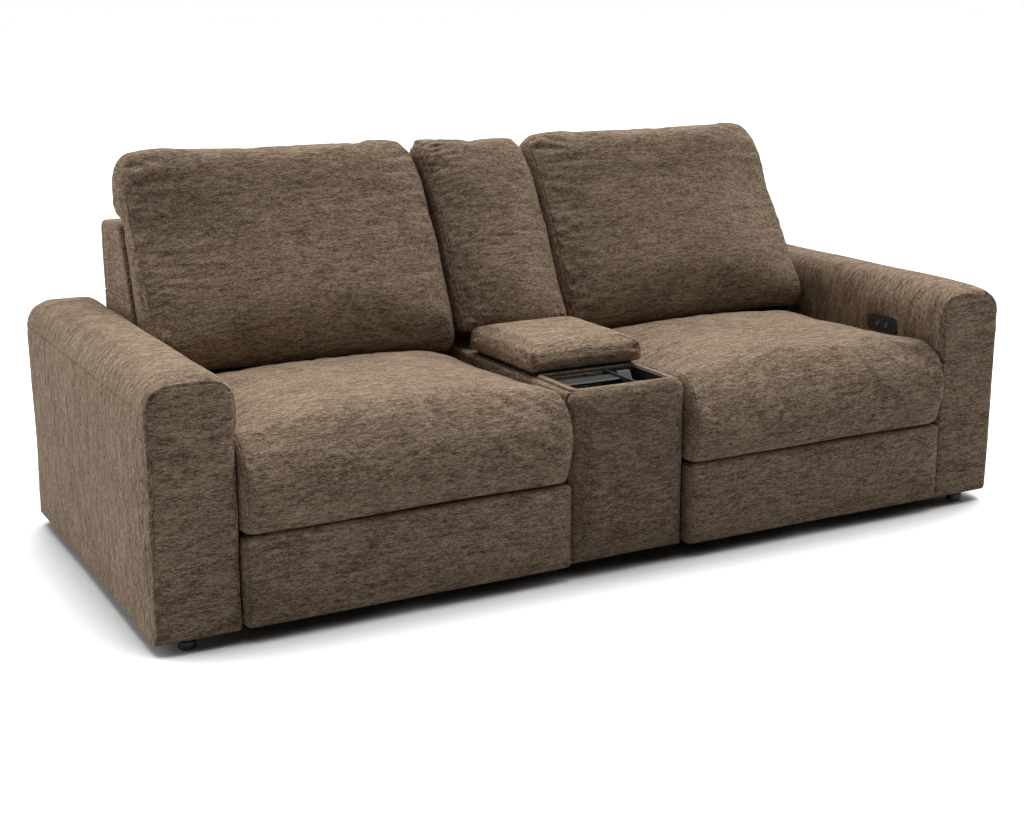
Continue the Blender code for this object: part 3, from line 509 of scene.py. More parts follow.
def softPiece(name, mesh, seams, gathers, waves, seed, finishes, indexOf, limits):
    # Subdivided, puckered and settled, kept inside its limits, then seamed
    fine = doubled(mesh)
    spots, facing = meshArrays(fine)
    for axis, level, reach, height in gathers:
        gather(spots, facing, axis, level, reach, height, seed)
    settle(spots, facing, waves, seed)
    low, high = limits
    spots = np.minimum(np.maximum(spots, np.array(low)), np.array(high))
    setSpots(fine, spots)
    bm = bmesh.new()
    bm.from_mesh(fine)
    for seam in seams:
        seamCut(bm, *seam)
    bm.normal_update()
    for face in bm.faces:
        face.material_index = indexOf(face)
    bpy.data.meshes.remove(fine)
    made = objectFrom(name, bm, finishes)
    print("padded piece:", name, len(made.data.polygons), "faces")
    return made


def mirrored(mesh):
    twin = mesh.copy()
    bm = bmesh.new()
    bm.from_mesh(twin)
    bmesh.ops.scale(bm, vec=(-1, 1, 1), verts=bm.verts)
    bmesh.ops.reverse_faces(bm, faces=bm.faces)
    bm.to_mesh(twin)
    bm.free()
    return twin


def sideIndex(face):
    return 1 if abs(face.normal.x) > 0.80 else 0


noLimit = 9.0    # a coordinate past every cover

# Seats
seatCushion = {
    "voxel": 0.0075, "pressure": 3.5, "slack": 0.012, "cap": 0.013, "shrink": 0.004, "fill": 0.75,
    "seamInset": 0.011, "seamDepth": 0.0026, "gathers": (0.040, 0.0014), "waves": 0.0022, "seed": 30,
    "holdDeck": 0.012, "holdLip": 0.022, "holdRear": 0.012, "holdRim": 0.85,
    "endFall": 0.022, "endReach": 0.140, "fallFrom": -0.34, "fallOver": 0.30,
    "fallFoot": 0.02, "fallRise": 0.10,
    "noseFall": 0.012, "noseAt": -0.52, "noseReach": 0.075, "noseLow": 0.36, "noseRise": 0.08,
    "cornerLift": 0.014, "cornerReach": 0.070, "cornerAt": -0.46, "cornerDepth": 0.085, "cornerRise": 0.06,
    "hang": 0.0045, "hangReach": 0.035, "proud": (0.001, 0.012, 0.004),
}


def makeSeats():
    use = seatCushion
    low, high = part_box("left_seat_cushion")
    mesh = voxelMesh("seatForm", nodeCopy("left_seat_cushion"), use["voxel"], 2)
    spots, facing = meshArrays(mesh)
    free = np.clip(facing[:, 2], 0, 1) + np.clip(-facing[:, 1], 0, 1)
    spots -= facing * (use["shrink"] * np.clip(free, 0, 1))[:, None]
    setSpots(mesh, spots)
    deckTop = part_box("left_seat_deck")[1].z
    held = np.zeros(len(spots))
    held[(spots[:, 2] < deckTop + use["holdDeck"]) & (facing[:, 1] > -0.3)] = 1
    held[spots[:, 2] < low.z + use["holdLip"]] = 1
    held[spots[:, 1] > high.y - use["holdRear"]] = 1
    ends = np.minimum(spots[:, 0] - low.x, high.x - spots[:, 0])
    # lower beside the back
    fall = np.clip(1 - ends / use["endReach"], 0, 1) ** 2
    fall *= np.clip((spots[:, 2] - deckTop - use["fallFoot"]) / use["fallRise"], 0, 1)
    spots[:, 2] -= use["endFall"] * fall * np.clip((spots[:, 1] - use["fallFrom"]) / use["fallOver"], 0, 1)
    # the nose rolls down between its ends
    across = np.clip(np.abs(spots[:, 0] - (low.x + high.x) / 2) / ((high.x - low.x) / 2), 0, 1)
    nose = np.exp(-((spots[:, 1] - use["noseAt"]) / use["noseReach"]) ** 2)
    nose *= np.clip((spots[:, 2] - use["noseLow"]) / use["noseRise"], 0, 1)
    spots[:, 2] -= use["noseFall"] * nose * (1 - across ** 4)
    # front corners stay square
    square = np.clip(1 - ends / use["cornerReach"], 0, 1)
    square *= np.exp(-((spots[:, 1] - use["cornerAt"]) / use["cornerDepth"]) ** 2)
    square *= np.clip((spots[:, 2] - use["noseLow"]) / use["cornerRise"], 0, 1)
    spots[:, 2] += use["cornerLift"] * square
    setSpots(mesh, spots)
    rim = ends < use["seamInset"]
    held[rim] = np.maximum(held[rim], use["holdRim"])
    mesh = inflated("seatCover", mesh, held, use["pressure"], use["slack"], use["cap"])
    # lower lip closes on the footrest
    spots, facing = meshArrays(mesh)
    spots[:, 2] -= use["hang"] * np.clip(1 - (spots[:, 2] - low.z) / use["hangReach"], 0, 1)
    setSpots(mesh, spots)
    side, front, rear = use["proud"]
    for hand, way in hands:
        shape = mesh if way < 0 else mirrored(mesh)
        low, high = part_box(hand + "_seat_cushion")
        lines = (low.x + use["seamInset"], high.x - use["seamInset"])
        made = softPiece(hand + "SeatCover", shape, seamsAt(0, lines, use["seamDepth"]),
                         [(0, x, *use["gathers"]) for x in lines], use["waves"], use["seed"] + way,
                         [grainAcross, grainBoxing], sideIndex,
                         ((low.x - side, low.y - front, low.z - use["hang"]),
                          (high.x + side, high.y + rear, noLimit)))
        place(made, hand + "_seat", "fabric", hand + "_seat_cushion")


makeSeats()

# Backs, one cover over the lumbar cushion and the headrest
backCover = {
    "voxel": 0.0080, "pressure": 4.0, "slack": 0.015, "cap": 0.022, "shrink": 0.006, "fill": 0.7,
    "endRound": 0.036, "split": 0.80, "rows": (0.80, 0.86, 0.90, 0.94),
    # swell of the front over the height: amid, beside the console and beside the arm
    "crownAt": (0.47, 0.52, 0.56, 0.60, 0.66, 0.70, 0.75, 0.80, 0.83, 0.87, 0.91, 0.95),
    "crown": (0.000, 0.016, 0.030, 0.038, 0.039, 0.038, 0.038, 0.038, 0.036, 0.030, 0.022, 0.012),
    "innerCrown": (0.000, 0.000, 0.000, 0.005, 0.012, 0.018, 0.026, 0.029, 0.027, 0.020, 0.013, 0.012),
    "outerCrown": (0.000, 0.000, -0.004) + (-0.014,) * 9, "crownPower": 2.8,
    "toeFrom": 0.56, "toeFall": 0.026, "toeReach": 0.09, "topFrom": 0.86, "topReach": 0.10, "topCrown": 0.028,
    # the rear rests on the leaning shell, from leanFoot (y, z) with leanSlope (y over z)
    "leanFoot": (0.184, 0.462), "leanSlope": 0.422, "holdLean": 0.014, "holdTop": 0.815, "holdToe": 0.500,
    "cornerDrop": 0.052, "cornerReach": 0.054, "waist": 0.005, "waistReach": 0.035,
    "seamInset": 0.015, "seamDepth": 0.0022, "blendHalf": 0.060, "blendWay": (0, 0.30, 0.95),
    "bellyTop": 0.62, "bellyInset": 0.05, "bellyRounds": 12, "waves": 0.0030, "seed": 110,
    "gathers": ((0.050, 0.0024), (0.050, 0.0020)), "strongGathers": (0.070, 0.0048),
    "proud": (0.001, 0.012, 0.016),
}
# Outline of the cover's end, as (y, z), from the toe up the front and down the back
backOutline = (
    (0.106, 0.464), (0.078, 0.469), (0.060, 0.485), (0.054, 0.510), (0.065, 0.547), (0.094, 0.595),
    (0.122, 0.640), (0.160, 0.700), (0.192, 0.750), (0.222, 0.797), (0.240, 0.830), (0.266, 0.890),
    (0.286, 0.930), (0.316, 0.962), (0.352, 0.976), (0.384, 0.971), (0.397, 0.944), (0.397, 0.880),
    (0.386, 0.826), (0.370, 0.810), (0.330, 0.808), (0.184, 0.462), (0.130, 0.470))


def crownBack(bm, middle, half, use):
    for vert in bm.verts:
        along = (vert.co.x - middle) / half    # -1 beside the arm, 1 beside the console
        near = min(1.0, abs(along)) ** use["crownPower"]
        side = use["innerCrown" if along > 0 else "outerCrown"]
        forward = near * np.interp(vert.co.z, use["crownAt"], side)
        forward += (1 - near) * np.interp(vert.co.z, use["crownAt"], use["crown"])
        corner = (abs(vert.co.x - middle) - half + use["cornerReach"]) / use["cornerReach"]
        corner = min(1.0, max(0.0, corner))
        if vert.normal.y < 0.2 or (vert.normal.z > 0.3 and vert.co.z > use["split"]):
            vert.co.y -= float(forward)
        if vert.co.z > use["topFrom"]:
            lift = min(1.0, (vert.co.z - use["topFrom"]) / use["topReach"])
            drop = use["cornerDrop"] * (1 - math.sqrt(1 - corner ** 2 * 0.96))
            vert.co.z += lift * (use["topCrown"] * (1 - along ** 6) - drop)
        elif vert.co.z < use["toeFrom"] and along > 0:
            vert.co.z -= use["toeFall"] * near * (use["toeFrom"] - vert.co.z) / use["toeReach"]
        # the end panel draws in below the headrest
        nip = math.exp(-((vert.co.z - use["split"]) / use["waistReach"]) ** 2)
        vert.co.x -= math.copysign(use["waist"] * nip * corner, vert.co.x - middle)


def backForm(name, outline, low, high, use):
    bm = sweep(outline, "X", low, high, 20)
    rims = flatEdges(bm, 0, low) + flatEdges(bm, 0, high)
    roundEdges(bm, rims, use["endRound"], 5)
    for level in use["rows"]:
        cutAll(bm, (0, 0, level), (0, 0, 1))
    bm.normal_update()
    crownBack(bm, (low + high) / 2, (high - low) / 2, use)
    mesh = voxelMesh(name, bm, use["voxel"], 4)
    spots, facing = meshArrays(mesh)
    free = np.clip(-facing[:, 1], 0, 1) + np.clip(facing[:, 2], 0, 1) * (spots[:, 2] > 0.9)
    spots -= facing * (use["shrink"] * np.clip(free, 0, 1))[:, None]
    setSpots(mesh, spots)
    held = np.zeros(len(spots))
    footY, footZ = use["leanFoot"]
    lean = spots[:, 1] - footY - (spots[:, 2] - footZ) * use["leanSlope"]
    held[(lean > -use["holdLean"]) & (spots[:, 2] < use["holdTop"])] = 1
    held[(spots[:, 2] < use["holdToe"]) & (facing[:, 2] < -0.4)] = 1
    ends = np.minimum(spots[:, 0] - low, high - spots[:, 0])
    for rim, share in ((np.abs(ends - use["seamInset"]) < 0.006, 0.6), (ends < 0.004, 0.9)):
        held[rim] = np.maximum(held[rim], share)
    mesh = inflated(name + "Cover", mesh, held, use["pressure"], use["slack"], use["cap"])
    inset = use["bellyInset"]
    return eased(mesh, use["bellyRounds"], lambda v: v.co.z < use["bellyTop"] and v.normal.y < 0
                 and low + inset < v.co.x < high - inset)


def makeBacks():
    use = backCover
    low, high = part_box("left_back_cushion")
    mesh = backForm("backForm", backOutline, low.x, high.x, use)
    side, front, above = use["proud"]
    for hand, way in hands:
        shape = mesh if way < 0 else mirrored(mesh)
        low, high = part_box(hand + "_back_cushion")
        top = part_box(hand + "_headrest_cushion")[1]
        lines = (low.x + use["seamInset"], high.x - use["seamInset"])
        first, second = use["gathers"]
        gathers = [(0, lines[0], *(use["strongGathers"] if way > 0 else first)), (0, lines[1], *second)]
        made = softPiece(hand + "BackCover", shape, seamsAt(0, lines, use["seamDepth"]), gathers,
                         use["waves"], use["seed"] + way, [grainAcross, grainBoxing], sideIndex,
                         ((low.x - side, low.y - front, 0), (high.x + side, noLimit, top.z + above)))
        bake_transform(made)
        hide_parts(hand + "_back_cushion", hand + "_headrest_cushion")


makeBacks()

centreCover = dict(
    backCover, voxel=0.0072, cap=0.016, endRound=0.022, outerCrown=backCover["innerCrown"], toeFall=0.0,
    crown=[c + 0.010 for c in backCover["crown"]], crownPower=2.0, topCrown=0.008, cornerDrop=0.028,
    cornerReach=0.032, waist=0.003, seamInset=0.012, gathers=((0.065, 0.0050), (0.045, 0.0018)),
    waves=0.0025, seed=210, proud=(0.002, 0.012, 0.014))


def makeCentreBack():
    use = centreCover
    low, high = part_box("center_back_cushion")
    outline = list(backOutline)
    outline[:4] = [(0.064, 0.498), (0.048, 0.505), (0.046, 0.520)]    # stands above the console top
    outline[-1] = (0.130, 0.496)
    mesh = backForm("centreForm", outline, low.x, high.x, use)
    lines = (low.x + use["seamInset"], high.x - use["seamInset"])
    gathers = [(0, x, *reach) for x, reach in zip(lines, use["gathers"])]
    side, front, above = use["proud"]
    made = softPiece("centreBackCover", mesh, seamsAt(0, lines, use["seamDepth"]), gathers,
                     use["waves"], use["seed"], [grainAcross, grainBoxing], sideIndex,
                     ((low.x - side, low.y - front, 0), (high.x + side, noLimit, high.z + above)))
    place(made, "base", "fabric", "center_back_cushion")


makeCentreBack()

# Arms
armCover = {
    "voxel": 0.0090, "pressure": 3.0, "slack": 0.0, "cap": 0.009, "shrink": 0.004, "fill": 0.5,
    "outerRound": 0.068, "innerRound": 0.048, "endRound": 0.014,
    "endDrop": 0.008, "endReach": 0.070, "dropDepth": 0.12,
    "spare": 0.012,    # cut off again, so the lower edge stays straight
    "over": 0.002, "holdFoot": 0.012, "holdInner": 0.06,
    "bulge": 0.010, "bulgeLow": 0.455, "bulgeHigh": 0.130, "bulgeRear": -0.14, "bulgeFade": 0.08,
    "clearLong": 0.080, "clearHigh": 0.036,
    "frontBulge": 0.0022, "frontFrom": -0.44, "frontTop": 0.46, "frontFade": 0.03,
    "panelSeam": 0.006, "sideSeam": 0.535, "seamDepth": 0.0030, "sideDepth": 0.7,
    "gathers": (0.030, 0.0010), "waves": 0.0018, "seed": 310, "proud": (0.008, 0.006, 0.003, 0.008),
}


def armSection(inner, outer, low, high, use):
    # A few vertices, the two top corners bevelled round
    bm = bmesh.new()
    corners = ((inner, low), (inner, high), (outer, high), (outer, low))
    corners = [bm.verts.new((x, 0, z)) for x, z in corners]
    bm.faces.new(corners)
    for vert, width in ((corners[1], use["innerRound"]), (corners[2], use["outerRound"])):
        bmesh.ops.bevel(bm, geom=[vert], offset=width, offset_type="OFFSET", segments=8, profile=0.5,
                        affect="VERTICES", material=-1)
    face = bm.faces[:][0]
    points = [(loop.vert.co.x, loop.vert.co.z) for loop in face.loops]
    bm.free()
    return points


def makeArms():
    use = armCover
    low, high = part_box("left_arm_cover")
    section = armSection(high.x, low.x, low.z - use["spare"], high.z + use["over"], use)
    bm = sweep(section, "Y", low.y, high.y, 6)
    rims = flatEdges(bm, 1, low.y) + flatEdges(bm, 1, high.y)
    roundEdges(bm, rims, use["endRound"], 3)
    mesh = voxelMesh("armForm", bm, use["voxel"], 2)
    spots, facing = meshArrays(mesh)
    free = 1 - np.clip(facing[:, 0], 0, 1)
    spots -= facing * (use["shrink"] * free)[:, None]
    ends = np.minimum(spots[:, 1] - low.y, high.y - spots[:, 1])
    roll = np.clip(1 - ends / use["endReach"], 0, 1) ** 2
    upper = np.clip((spots[:, 2] - high.z + use["dropDepth"]) / use["dropDepth"], 0, 1)
    spots[:, 2] -= use["endDrop"] * roll * upper
    setSpots(mesh, spots)
    held = np.zeros(len(spots))
    held[spots[:, 2] < low.z + use["holdFoot"]] = 1
    held[(facing[:, 0] > 0.6) & (spots[:, 2] < high.z - use["holdInner"])] = 1
    held[np.abs(ends - use["panelSeam"]) < 0.005] = 0.85
    held[(np.abs(spots[:, 2] - use["sideSeam"]) < 0.006) & (facing[:, 0] < -0.5)] = 0.7
    mesh = inflated("armCoverCloth", mesh, held, use["pressure"], use["slack"], use["cap"])
    # the padding leans over the seat, but not behind the switch or beside the back
    spots, facing = meshArrays(mesh)
    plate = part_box("left_switch_plate")
    middle = (plate[0] + plate[1]) / 2
    over = np.sin(np.pi * np.clip((spots[:, 2] - use["bulgeLow"]) / use["bulgeHigh"], 0, 1))
    over *= np.clip((use["bulgeRear"] - spots[:, 1]) / use["bulgeFade"], 0, 1)
    clear = np.exp(-((spots[:, 1] - middle.y) / use["clearLong"]) ** 4
                   - ((spots[:, 2] - middle.z) / use["clearHigh"]) ** 4)
    over = use["bulge"] * over * (1 - clear)
    front = np.clip((use["frontFrom"] - spots[:, 1]) / use["frontFade"], 0, 1)
    front *= np.clip((use["frontTop"] - spots[:, 2]) / use["frontFade"], 0, 1)
    over += use["frontBulge"] * front
    spots[:, 0] += over * np.clip(facing[:, 0] * 2, 0, 1)
    setSpots(mesh, spots)
    for hand, side in hands:
        shape = mesh if side < 0 else mirrored(mesh)
        low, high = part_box(hand + "_arm_cover")
        lines = (low.y + use["panelSeam"], high.y - use["panelSeam"])
        seams = seamsAt(1, lines, use["seamDepth"])

        def outer(face, side=side, lines=lines):
            spot = face.calc_center_median()
            return face.normal.x * side > 0.4 and lines[0] + 0.006 < spot.y < lines[1] - 0.006

        sideDepth = use["seamDepth"] * use["sideDepth"]
        seams.append(((0, 0, use["sideSeam"]), (0, 0, 1), sideDepth, seamHalf, outer))

        def panel(face, lines=lines):
            spot = face.calc_center_median()
            return 1 if spot.y < lines[0] or spot.y > lines[1] else 0

        outward, along, below, above = use["proud"]
        left, right = (outward, use["bulge"]) if side < 0 else (use["bulge"], outward)
        made = softPiece(hand + "ArmCover", shape, seams, [(1, y, *use["gathers"]) for y in lines],
                         use["waves"], use["seed"] + side, [grainArm, grainAcross], panel,
                         ((low.x - left, low.y - along, low.z - below),
                          (high.x + right, high.y + along, high.z + above)))
        place(made, "base", "fabric", hand + "_arm_cover")


makeArms()

# Footrests, console front and lid: rounded forms, remeshed and filled
footrestPad = {
    "voxel": 0.0070, "pressure": 3.0, "slack": 0.005, "cap": 0.009, "shrink": 0.004, "fill": 0.55,
    "edge": 0.0085, "crown": 0.004, "grid": 0.02, "above": 0.001, "below": 0.004, "holdFrom": 0.026,
    "holdRim": 0.007, "seamInset": 0.008, "seamDepth": 0.0025, "waves": 0.0012, "seed": 410,
    "proud": (0.008, 0.0015),
}


def crowned(bm, axis, sign, low, high, height):
    # Swells the faces that look along one axis
    others = [i for i in range(3) if i != axis]
    middle = (Vector(low) + Vector(high)) / 2
    half = (Vector(high) - Vector(low)) / 2
    bm.normal_update()
    edge = high[axis] if sign > 0 else low[axis]
    for vert in bm.verts:
        share = 1.0
        for i in others:
            share *= 1 - min(1.0, abs(vert.co[i] - middle[i]) / half[i]) ** 2.2
        depth = 1 - min(1.0, abs(vert.co[axis] - edge) / (half[axis] * 2))
        vert.co[axis] += sign * height * share * depth
    return bm


def padMesh(name, bm, use, outward, heldAt):
    mesh = voxelMesh(name + "Form", bm, use["voxel"], 1)
    spots, facing = meshArrays(mesh)
    free = np.clip(facing @ np.array(outward), 0, 1)
    spots -= facing * (use["shrink"] * free)[:, None]
    setSpots(mesh, spots)
    return inflated(name + "Cloth", mesh, heldAt(spots, facing), use["pressure"], use["slack"], use["cap"])


def makeFootrests():
    use = footrestPad
    low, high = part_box("left_footrest_pad")
    high.z += use["above"]
    low.z -= use["below"]
    bm = roundedBox(low, high, use["edge"], 4)
    for axis in (0, 2):
        gridded(bm, axis, use["grid"])
    crowned(bm, 1, -1, low, high, use["crown"])

    def heldAt(spots, facing):
        held = np.zeros(len(spots))
        held[spots[:, 1] > low.y + use["holdFrom"]] = 1
        ends = np.minimum(spots[:, 0] - low.x, high.x - spots[:, 0])
        rows = np.minimum(spots[:, 2] - low.z, high.z - spots[:, 2])
        held[np.minimum(ends, rows) < use["holdRim"]] = 0.95
        return held

    mesh = padMesh("footrest", bm, use, (0, -1, 0), heldAt)
    front, above = use["proud"]
    for hand, side in hands:
        shape = mesh if side < 0 else mirrored(mesh)
        low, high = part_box(hand + "_footrest_pad")
        lines = (low.x + use["seamInset"], high.x - use["seamInset"])
        made = softPiece(hand + "FootrestPad", shape, seamsAt(0, lines, use["seamDepth"]), [],
                         use["waves"], use["seed"] + side, [grainAcross, grainBoxing], sideIndex,
                         ((low.x, low.y - front, low.z - use["below"]), (high.x, high.y, high.z + above)))
        place(made, hand + "_footrest", "fabric", hand + "_footrest_pad")


makeFootrests()

frontPanel = {
    "voxel": 0.0052, "pressure": 3.0, "slack": 0.0, "cap": 0.006, "shrink": 0.002, "fill": 0.45,
    "corner": 0.028, "edge": 0.018, "crown": 0.003, "grid": 0.02, "holdFrom": 0.018,
    "waves": 0.0010, "seed": 510, "proud": (0.006, 0.003),
}


def makeConsoleFront():
    use = frontPanel
    low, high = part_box("console_front_panel")
    bm = plainBox(low, high)
    posts = [e for e in bm.edges if all(v.co.z > high.z - 1e-4 for v in e.verts)
             and abs(e.verts[0].co.y - e.verts[1].co.y) > 1e-3]
    roundEdges(bm, posts, use["corner"], 5)
    roundEdges(bm, flatEdges(bm, 1, low.y), use["edge"], 4)
    for axis in (0, 2):
        gridded(bm, axis, use["grid"])
    crowned(bm, 1, -1, low, high, use["crown"])

    def heldAt(spots, facing):
        held = np.zeros(len(spots))
        held[spots[:, 1] > low.y + use["holdFrom"]] = 1
        return held

    mesh = padMesh("consoleFront", bm, use, (0, -1, 0), heldAt)
    front, above = use["proud"]
    # the front panel's cloth has painted shade in its tones
    made = softPiece("consoleFront", mesh, [], [], use["waves"], use["seed"],
                     [grainFrontPaintedShade, grainBoxing], sideIndex,
                     ((low.x, low.y - front, low.z), (high.x, high.y, high.z + above)))
    place(made, "base", "fabric", "console_front_panel")


makeConsoleFront()

lidPad = {
    "voxel": 0.0048, "pressure": 4.0, "slack": 0.0, "cap": 0.008, "shrink": 0.003, "fill": 0.8,
    "low": (-0.1625, -0.314, 0.4665), "high": (0.1625, 0.018, 0.5235), "edge": 0.013, "grid": 0.016,
    "crown": 0.009, "sidePower": 6, "frontPower": 3.0, "rearPower": 7.0,    # stays full over the hinge
    "seam": 0.4830, "seamDepth": 0.0014, "seamHalf": 0.0025, "holdFoot": 0.010, "holdSeam": 0.005,
    "gathers": (0.040, 0.0022), "waves": 0.0010, "seed": 610, "proud": 0.002, "above": 0.034,
}


def makeLid():
    use = lidPad
    low, high = Vector(use["low"]), Vector(use["high"])
    bm = roundedBox(low, high, use["edge"], 4)
    for axis in (0, 1):
        gridded(bm, axis, use["grid"])
    middle = (low + high) / 2
    half = (high - low) / 2
    for vert in bm.verts:
        if vert.co.z < middle.z:
            continue
        across = 1 - min(1.0, abs(vert.co.x - middle.x) / half.x) ** use["sidePower"]
        along = (vert.co.y - middle.y) / half.y
        along = 1 - min(1.0, abs(along)) ** use["frontPower" if along < 0 else "rearPower"]
        vert.co.z += use["crown"] * across * along

    def heldAt(spots, facing):
        held = np.zeros(len(spots))
        held[spots[:, 2] < low.z + use["holdFoot"]] = 1
        held[np.abs(spots[:, 2] - use["seam"]) < use["holdSeam"]] = 0.7
        return held

    mesh = padMesh("lid", bm, use, (0, 0, 1), heldAt)
    proud = use["proud"]
    seam = ((0, 0, use["seam"]), (0, 0, 1), use["seamDepth"], use["seamHalf"])
    # the lid's cloth has painted light in its tones
    made = softPiece("consoleLid", mesh, [seam],
                     [(0, x, *use["gathers"]) for x in (low.x, high.x)], use["waves"], use["seed"],
                     [grainLidPaintedLight, grainBoxing], sideIndex,
                     ((low.x - proud, low.y - proud, low.z),
                      (high.x + proud, high.y + proud, high.z + use["above"])))
    place(made, "console_lid", "fabric", "console_lid_cushion")


makeLid()

lidBoard = {"inset": 0.009, "edge": 0.002, "thick": 0.0185, "gap": 0.009,
            "leafHalf": 0.124, "leafFrom": 0.011, "leafTo": 0.005, "leafEdge": 0.0015, "roll": 0.0048}


def makeLidBoard():
    # Lined board under the pad, with the leaf and the roll of its hinge
    use = lidBoard
    low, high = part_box("console_lid_board")
    hinge = jointSpot("console_lid_open")
    inset, half = use["inset"], use["leafHalf"]
    bm = roundedBox((low.x + inset, low.y + inset, low.z),
                    (high.x - inset, hinge[1] - use["gap"], low.z + use["thick"]), use["edge"], 2)
    leaf = roundedBox((-half, hinge[1] - use["leafFrom"], low.z + 0.003),
                      (half, hinge[1] - use["leafTo"], hinge[2]), use["leafEdge"], 2)
    roll = bmesh.new()
    turn = Matrix.Translation(hinge) @ Matrix.Rotation(math.pi / 2, 4, "Y")
    bmesh.ops.create_cone(roll, cap_ends=True, segments=20, radius1=use["roll"], radius2=use["roll"],
                          depth=half * 2, matrix=turn)
    joined(bm, (leaf, roll))
    for face in bm.faces:
        face.material_index = 1 if face.calc_center_median().y > hinge[1] - 0.0085 else 0
    made = objectFrom("lidBoard", bm, [lining, enamel], False)
    place(made, "console_lid", "lid_board", "console_lid_board")


makeLidBoard()
print("padded pieces ready")

# Back shells behind the cushions, fabric over a frame
shellCover = {"edge": 0.010, "topRound": 0.026, "sideSeam": 0.620, "rearSeam": 0.030, "seamDepth": 0.0045,
              "seamHalf": 0.0025, "wave": 0.0012, "waveSize": 9.0, "grid": 0.022,
              "foot": (0.188, 0.447), "lean": (0.327, 0.802), "rear": 0.503}


def makeShell(low, high, foot, seed):
    use = shellCover
    rear, top = use["rear"], use["lean"][1]
    outline = [use["foot"], use["lean"], (rear, top), (rear, foot)]
    if foot < use["foot"][1]:    # the centre one stands on the base
        outline.insert(0, (use["foot"][0], foot))
    bm = sweep(outline, "X", low, high)
    topRear = [e for e in bm.edges
               if all(abs(v.co.y - rear) < 1e-5 and abs(v.co.z - top) < 1e-5 for v in e.verts)]
    roundEdges(bm, topRear, use["topRound"], 5)
    roundEdges(bm, flatEdges(bm, 0, low) + flatEdges(bm, 0, high), use["edge"], 3)
    for axis in range(3):
        gridded(bm, axis, use["grid"])
    for spot, across in (((0, 0, use["sideSeam"]), (0, 0, 1)), ((0, rear - use["rearSeam"], 0), (0, 1, 0))):
        seamCut(bm, spot, across, use["seamDepth"], use["seamHalf"], lambda f: abs(f.normal.x) > 0.3)
    waved(bm, use["wave"], use["waveSize"], seed)
    for face in bm.faces:
        face.material_index = sideIndex(face)
    return bm


backHinges = {"pinRow": ((0.184, 0.389), (0.252, 0.452)), "rowEdge": 0.018,
              "lugSpread": 0.276, "lugHalf": 0.006, "lugEdge": 0.005,
              "lug": ((0.2605, 0.7865), (0.345, 0.8015))}


def makeShells():
    use = backHinges
    for hand, side in hands:
        low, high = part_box(hand + "_back_frame")
        bm = makeShell(low.x, high.x, shellCover["foot"][1], 70 + side)
        middle = (low.x + high.x) / 2
        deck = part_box(hand + "_seat_deck")
        near, far = use["pinRow"]
        fixed = [roundedBox((deck[0].x, *near), (deck[1].x, *far), use["rowEdge"], 4)]
        near, far = use["lug"]
        for reach in (-use["lugSpread"], use["lugSpread"]):    # lugs that carry the headrest hinge
            fixed.append(roundedBox((middle + reach - use["lugHalf"], *near),
                                    (middle + reach + use["lugHalf"], *far), use["lugEdge"], 3))
        made = objectFrom(hand + "BackShell", bm, [grainAcross, grainBoxing])
        place(made, hand + "_back", "fabric", hand + "_back_frame")
        hinge = joined(bmesh.new(), fixed)
        place(objectFrom(hand + "BackHinges", hinge, [enamel], False), hand + "_back", "frame_steel")
    low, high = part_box("center_back_frame")
    made = objectFrom("centreShell", makeShell(low.x, high.x, low.z, 73), [grainAcross, grainBoxing])
    place(made, "base", "fabric", "center_back_frame")


makeShells()
print("shells ready")

# Rear panel
rearCover = {"edge": 0.008, "grid": 0.024, "seams": (-0.165, 0.165), "seamDepth": 0.0025,
             "wave": 0.0015, "waveSize": 7.0, "seed": 81}


def makeRearPanel():
    use = rearCover
    low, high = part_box("rear_panel")
    bm = roundedBox(low, high, use["edge"], 3)
    for axis in (0, 2):
        gridded(bm, axis, use["grid"])
    for x in use["seams"]:
        seamCut(bm, (x, 0, 0), (1, 0, 0), use["seamDepth"], keep=lambda f: f.normal.y > 0.2)
    waved(bm, use["wave"], use["waveSize"], use["seed"])
    made = objectFrom("rearPanelCover", bm, [grainAcross])
    place(made, "base", "fabric", "rear_panel")


makeRearPanel()

# Console box, its bin and its tray
consoleBox = {"top": 0.455, "rim": 0.010, "wellRim": 0.006, "lined": 0.012,
              "trayWell": (0.1255, -0.4725, -0.3185), "wellFloor": 0.372,    # half width, front, rear
              "bin": (0.140, -0.292, -0.027), "binFloor": 0.120,
              "earX": 0.138, "earHalf": 0.008, "earEdge": 0.0042,
              "ear": ((-0.0065, 0.440), (0.0025, 0.5222))}


def wellsCut(bm, openings, top):
    # openings are (left, right, front, rear, floor)
    for left, right, front, rear, floor in openings:
        for spot, across in (((left, 0, 0), (1, 0, 0)), ((right, 0, 0), (1, 0, 0)),
                             ((0, front, 0), (0, 1, 0)), ((0, rear, 0), (0, 1, 0))):
            lid = [f for f in bm.faces if f.normal.z > 0.9 and f.calc_center_median().z > top - 1e-4]
            geom = list({g for f in lid for g in (*f.verts, *f.edges, f)})
            bmesh.ops.bisect_plane(bm, geom=geom, dist=1e-5, plane_co=spot, plane_no=across)
            bm.normal_update()
    for left, right, front, rear, floor in openings:
        inside = []
        for face in bm.faces:
            spot = face.calc_center_median()
            within = left < spot.x < right and front < spot.y < rear
            if within and face.normal.z > 0.9 and spot.z > top - 1e-4:
                inside.append(face)
        bmesh.ops.delete(bm, geom=inside, context="FACES")
        mouth = [e for e in bm.edges if e.is_boundary and all(
            left - 1e-5 < v.co.x < right + 1e-5 and front - 1e-5 < v.co.y < rear + 1e-5 for v in e.verts)]
        grown = bmesh.ops.extrude_edge_only(bm, edges=mouth)["geom"]
        bmesh.ops.translate(bm, verts=vertsIn(grown), vec=(0, 0, floor - top))
        bmesh.ops.contextual_create(bm, geom=[g for g in grown if isinstance(g, bmesh.types.BMEdge)])
    bmesh.ops.recalc_face_normals(bm, faces=bm.faces)
    return bm


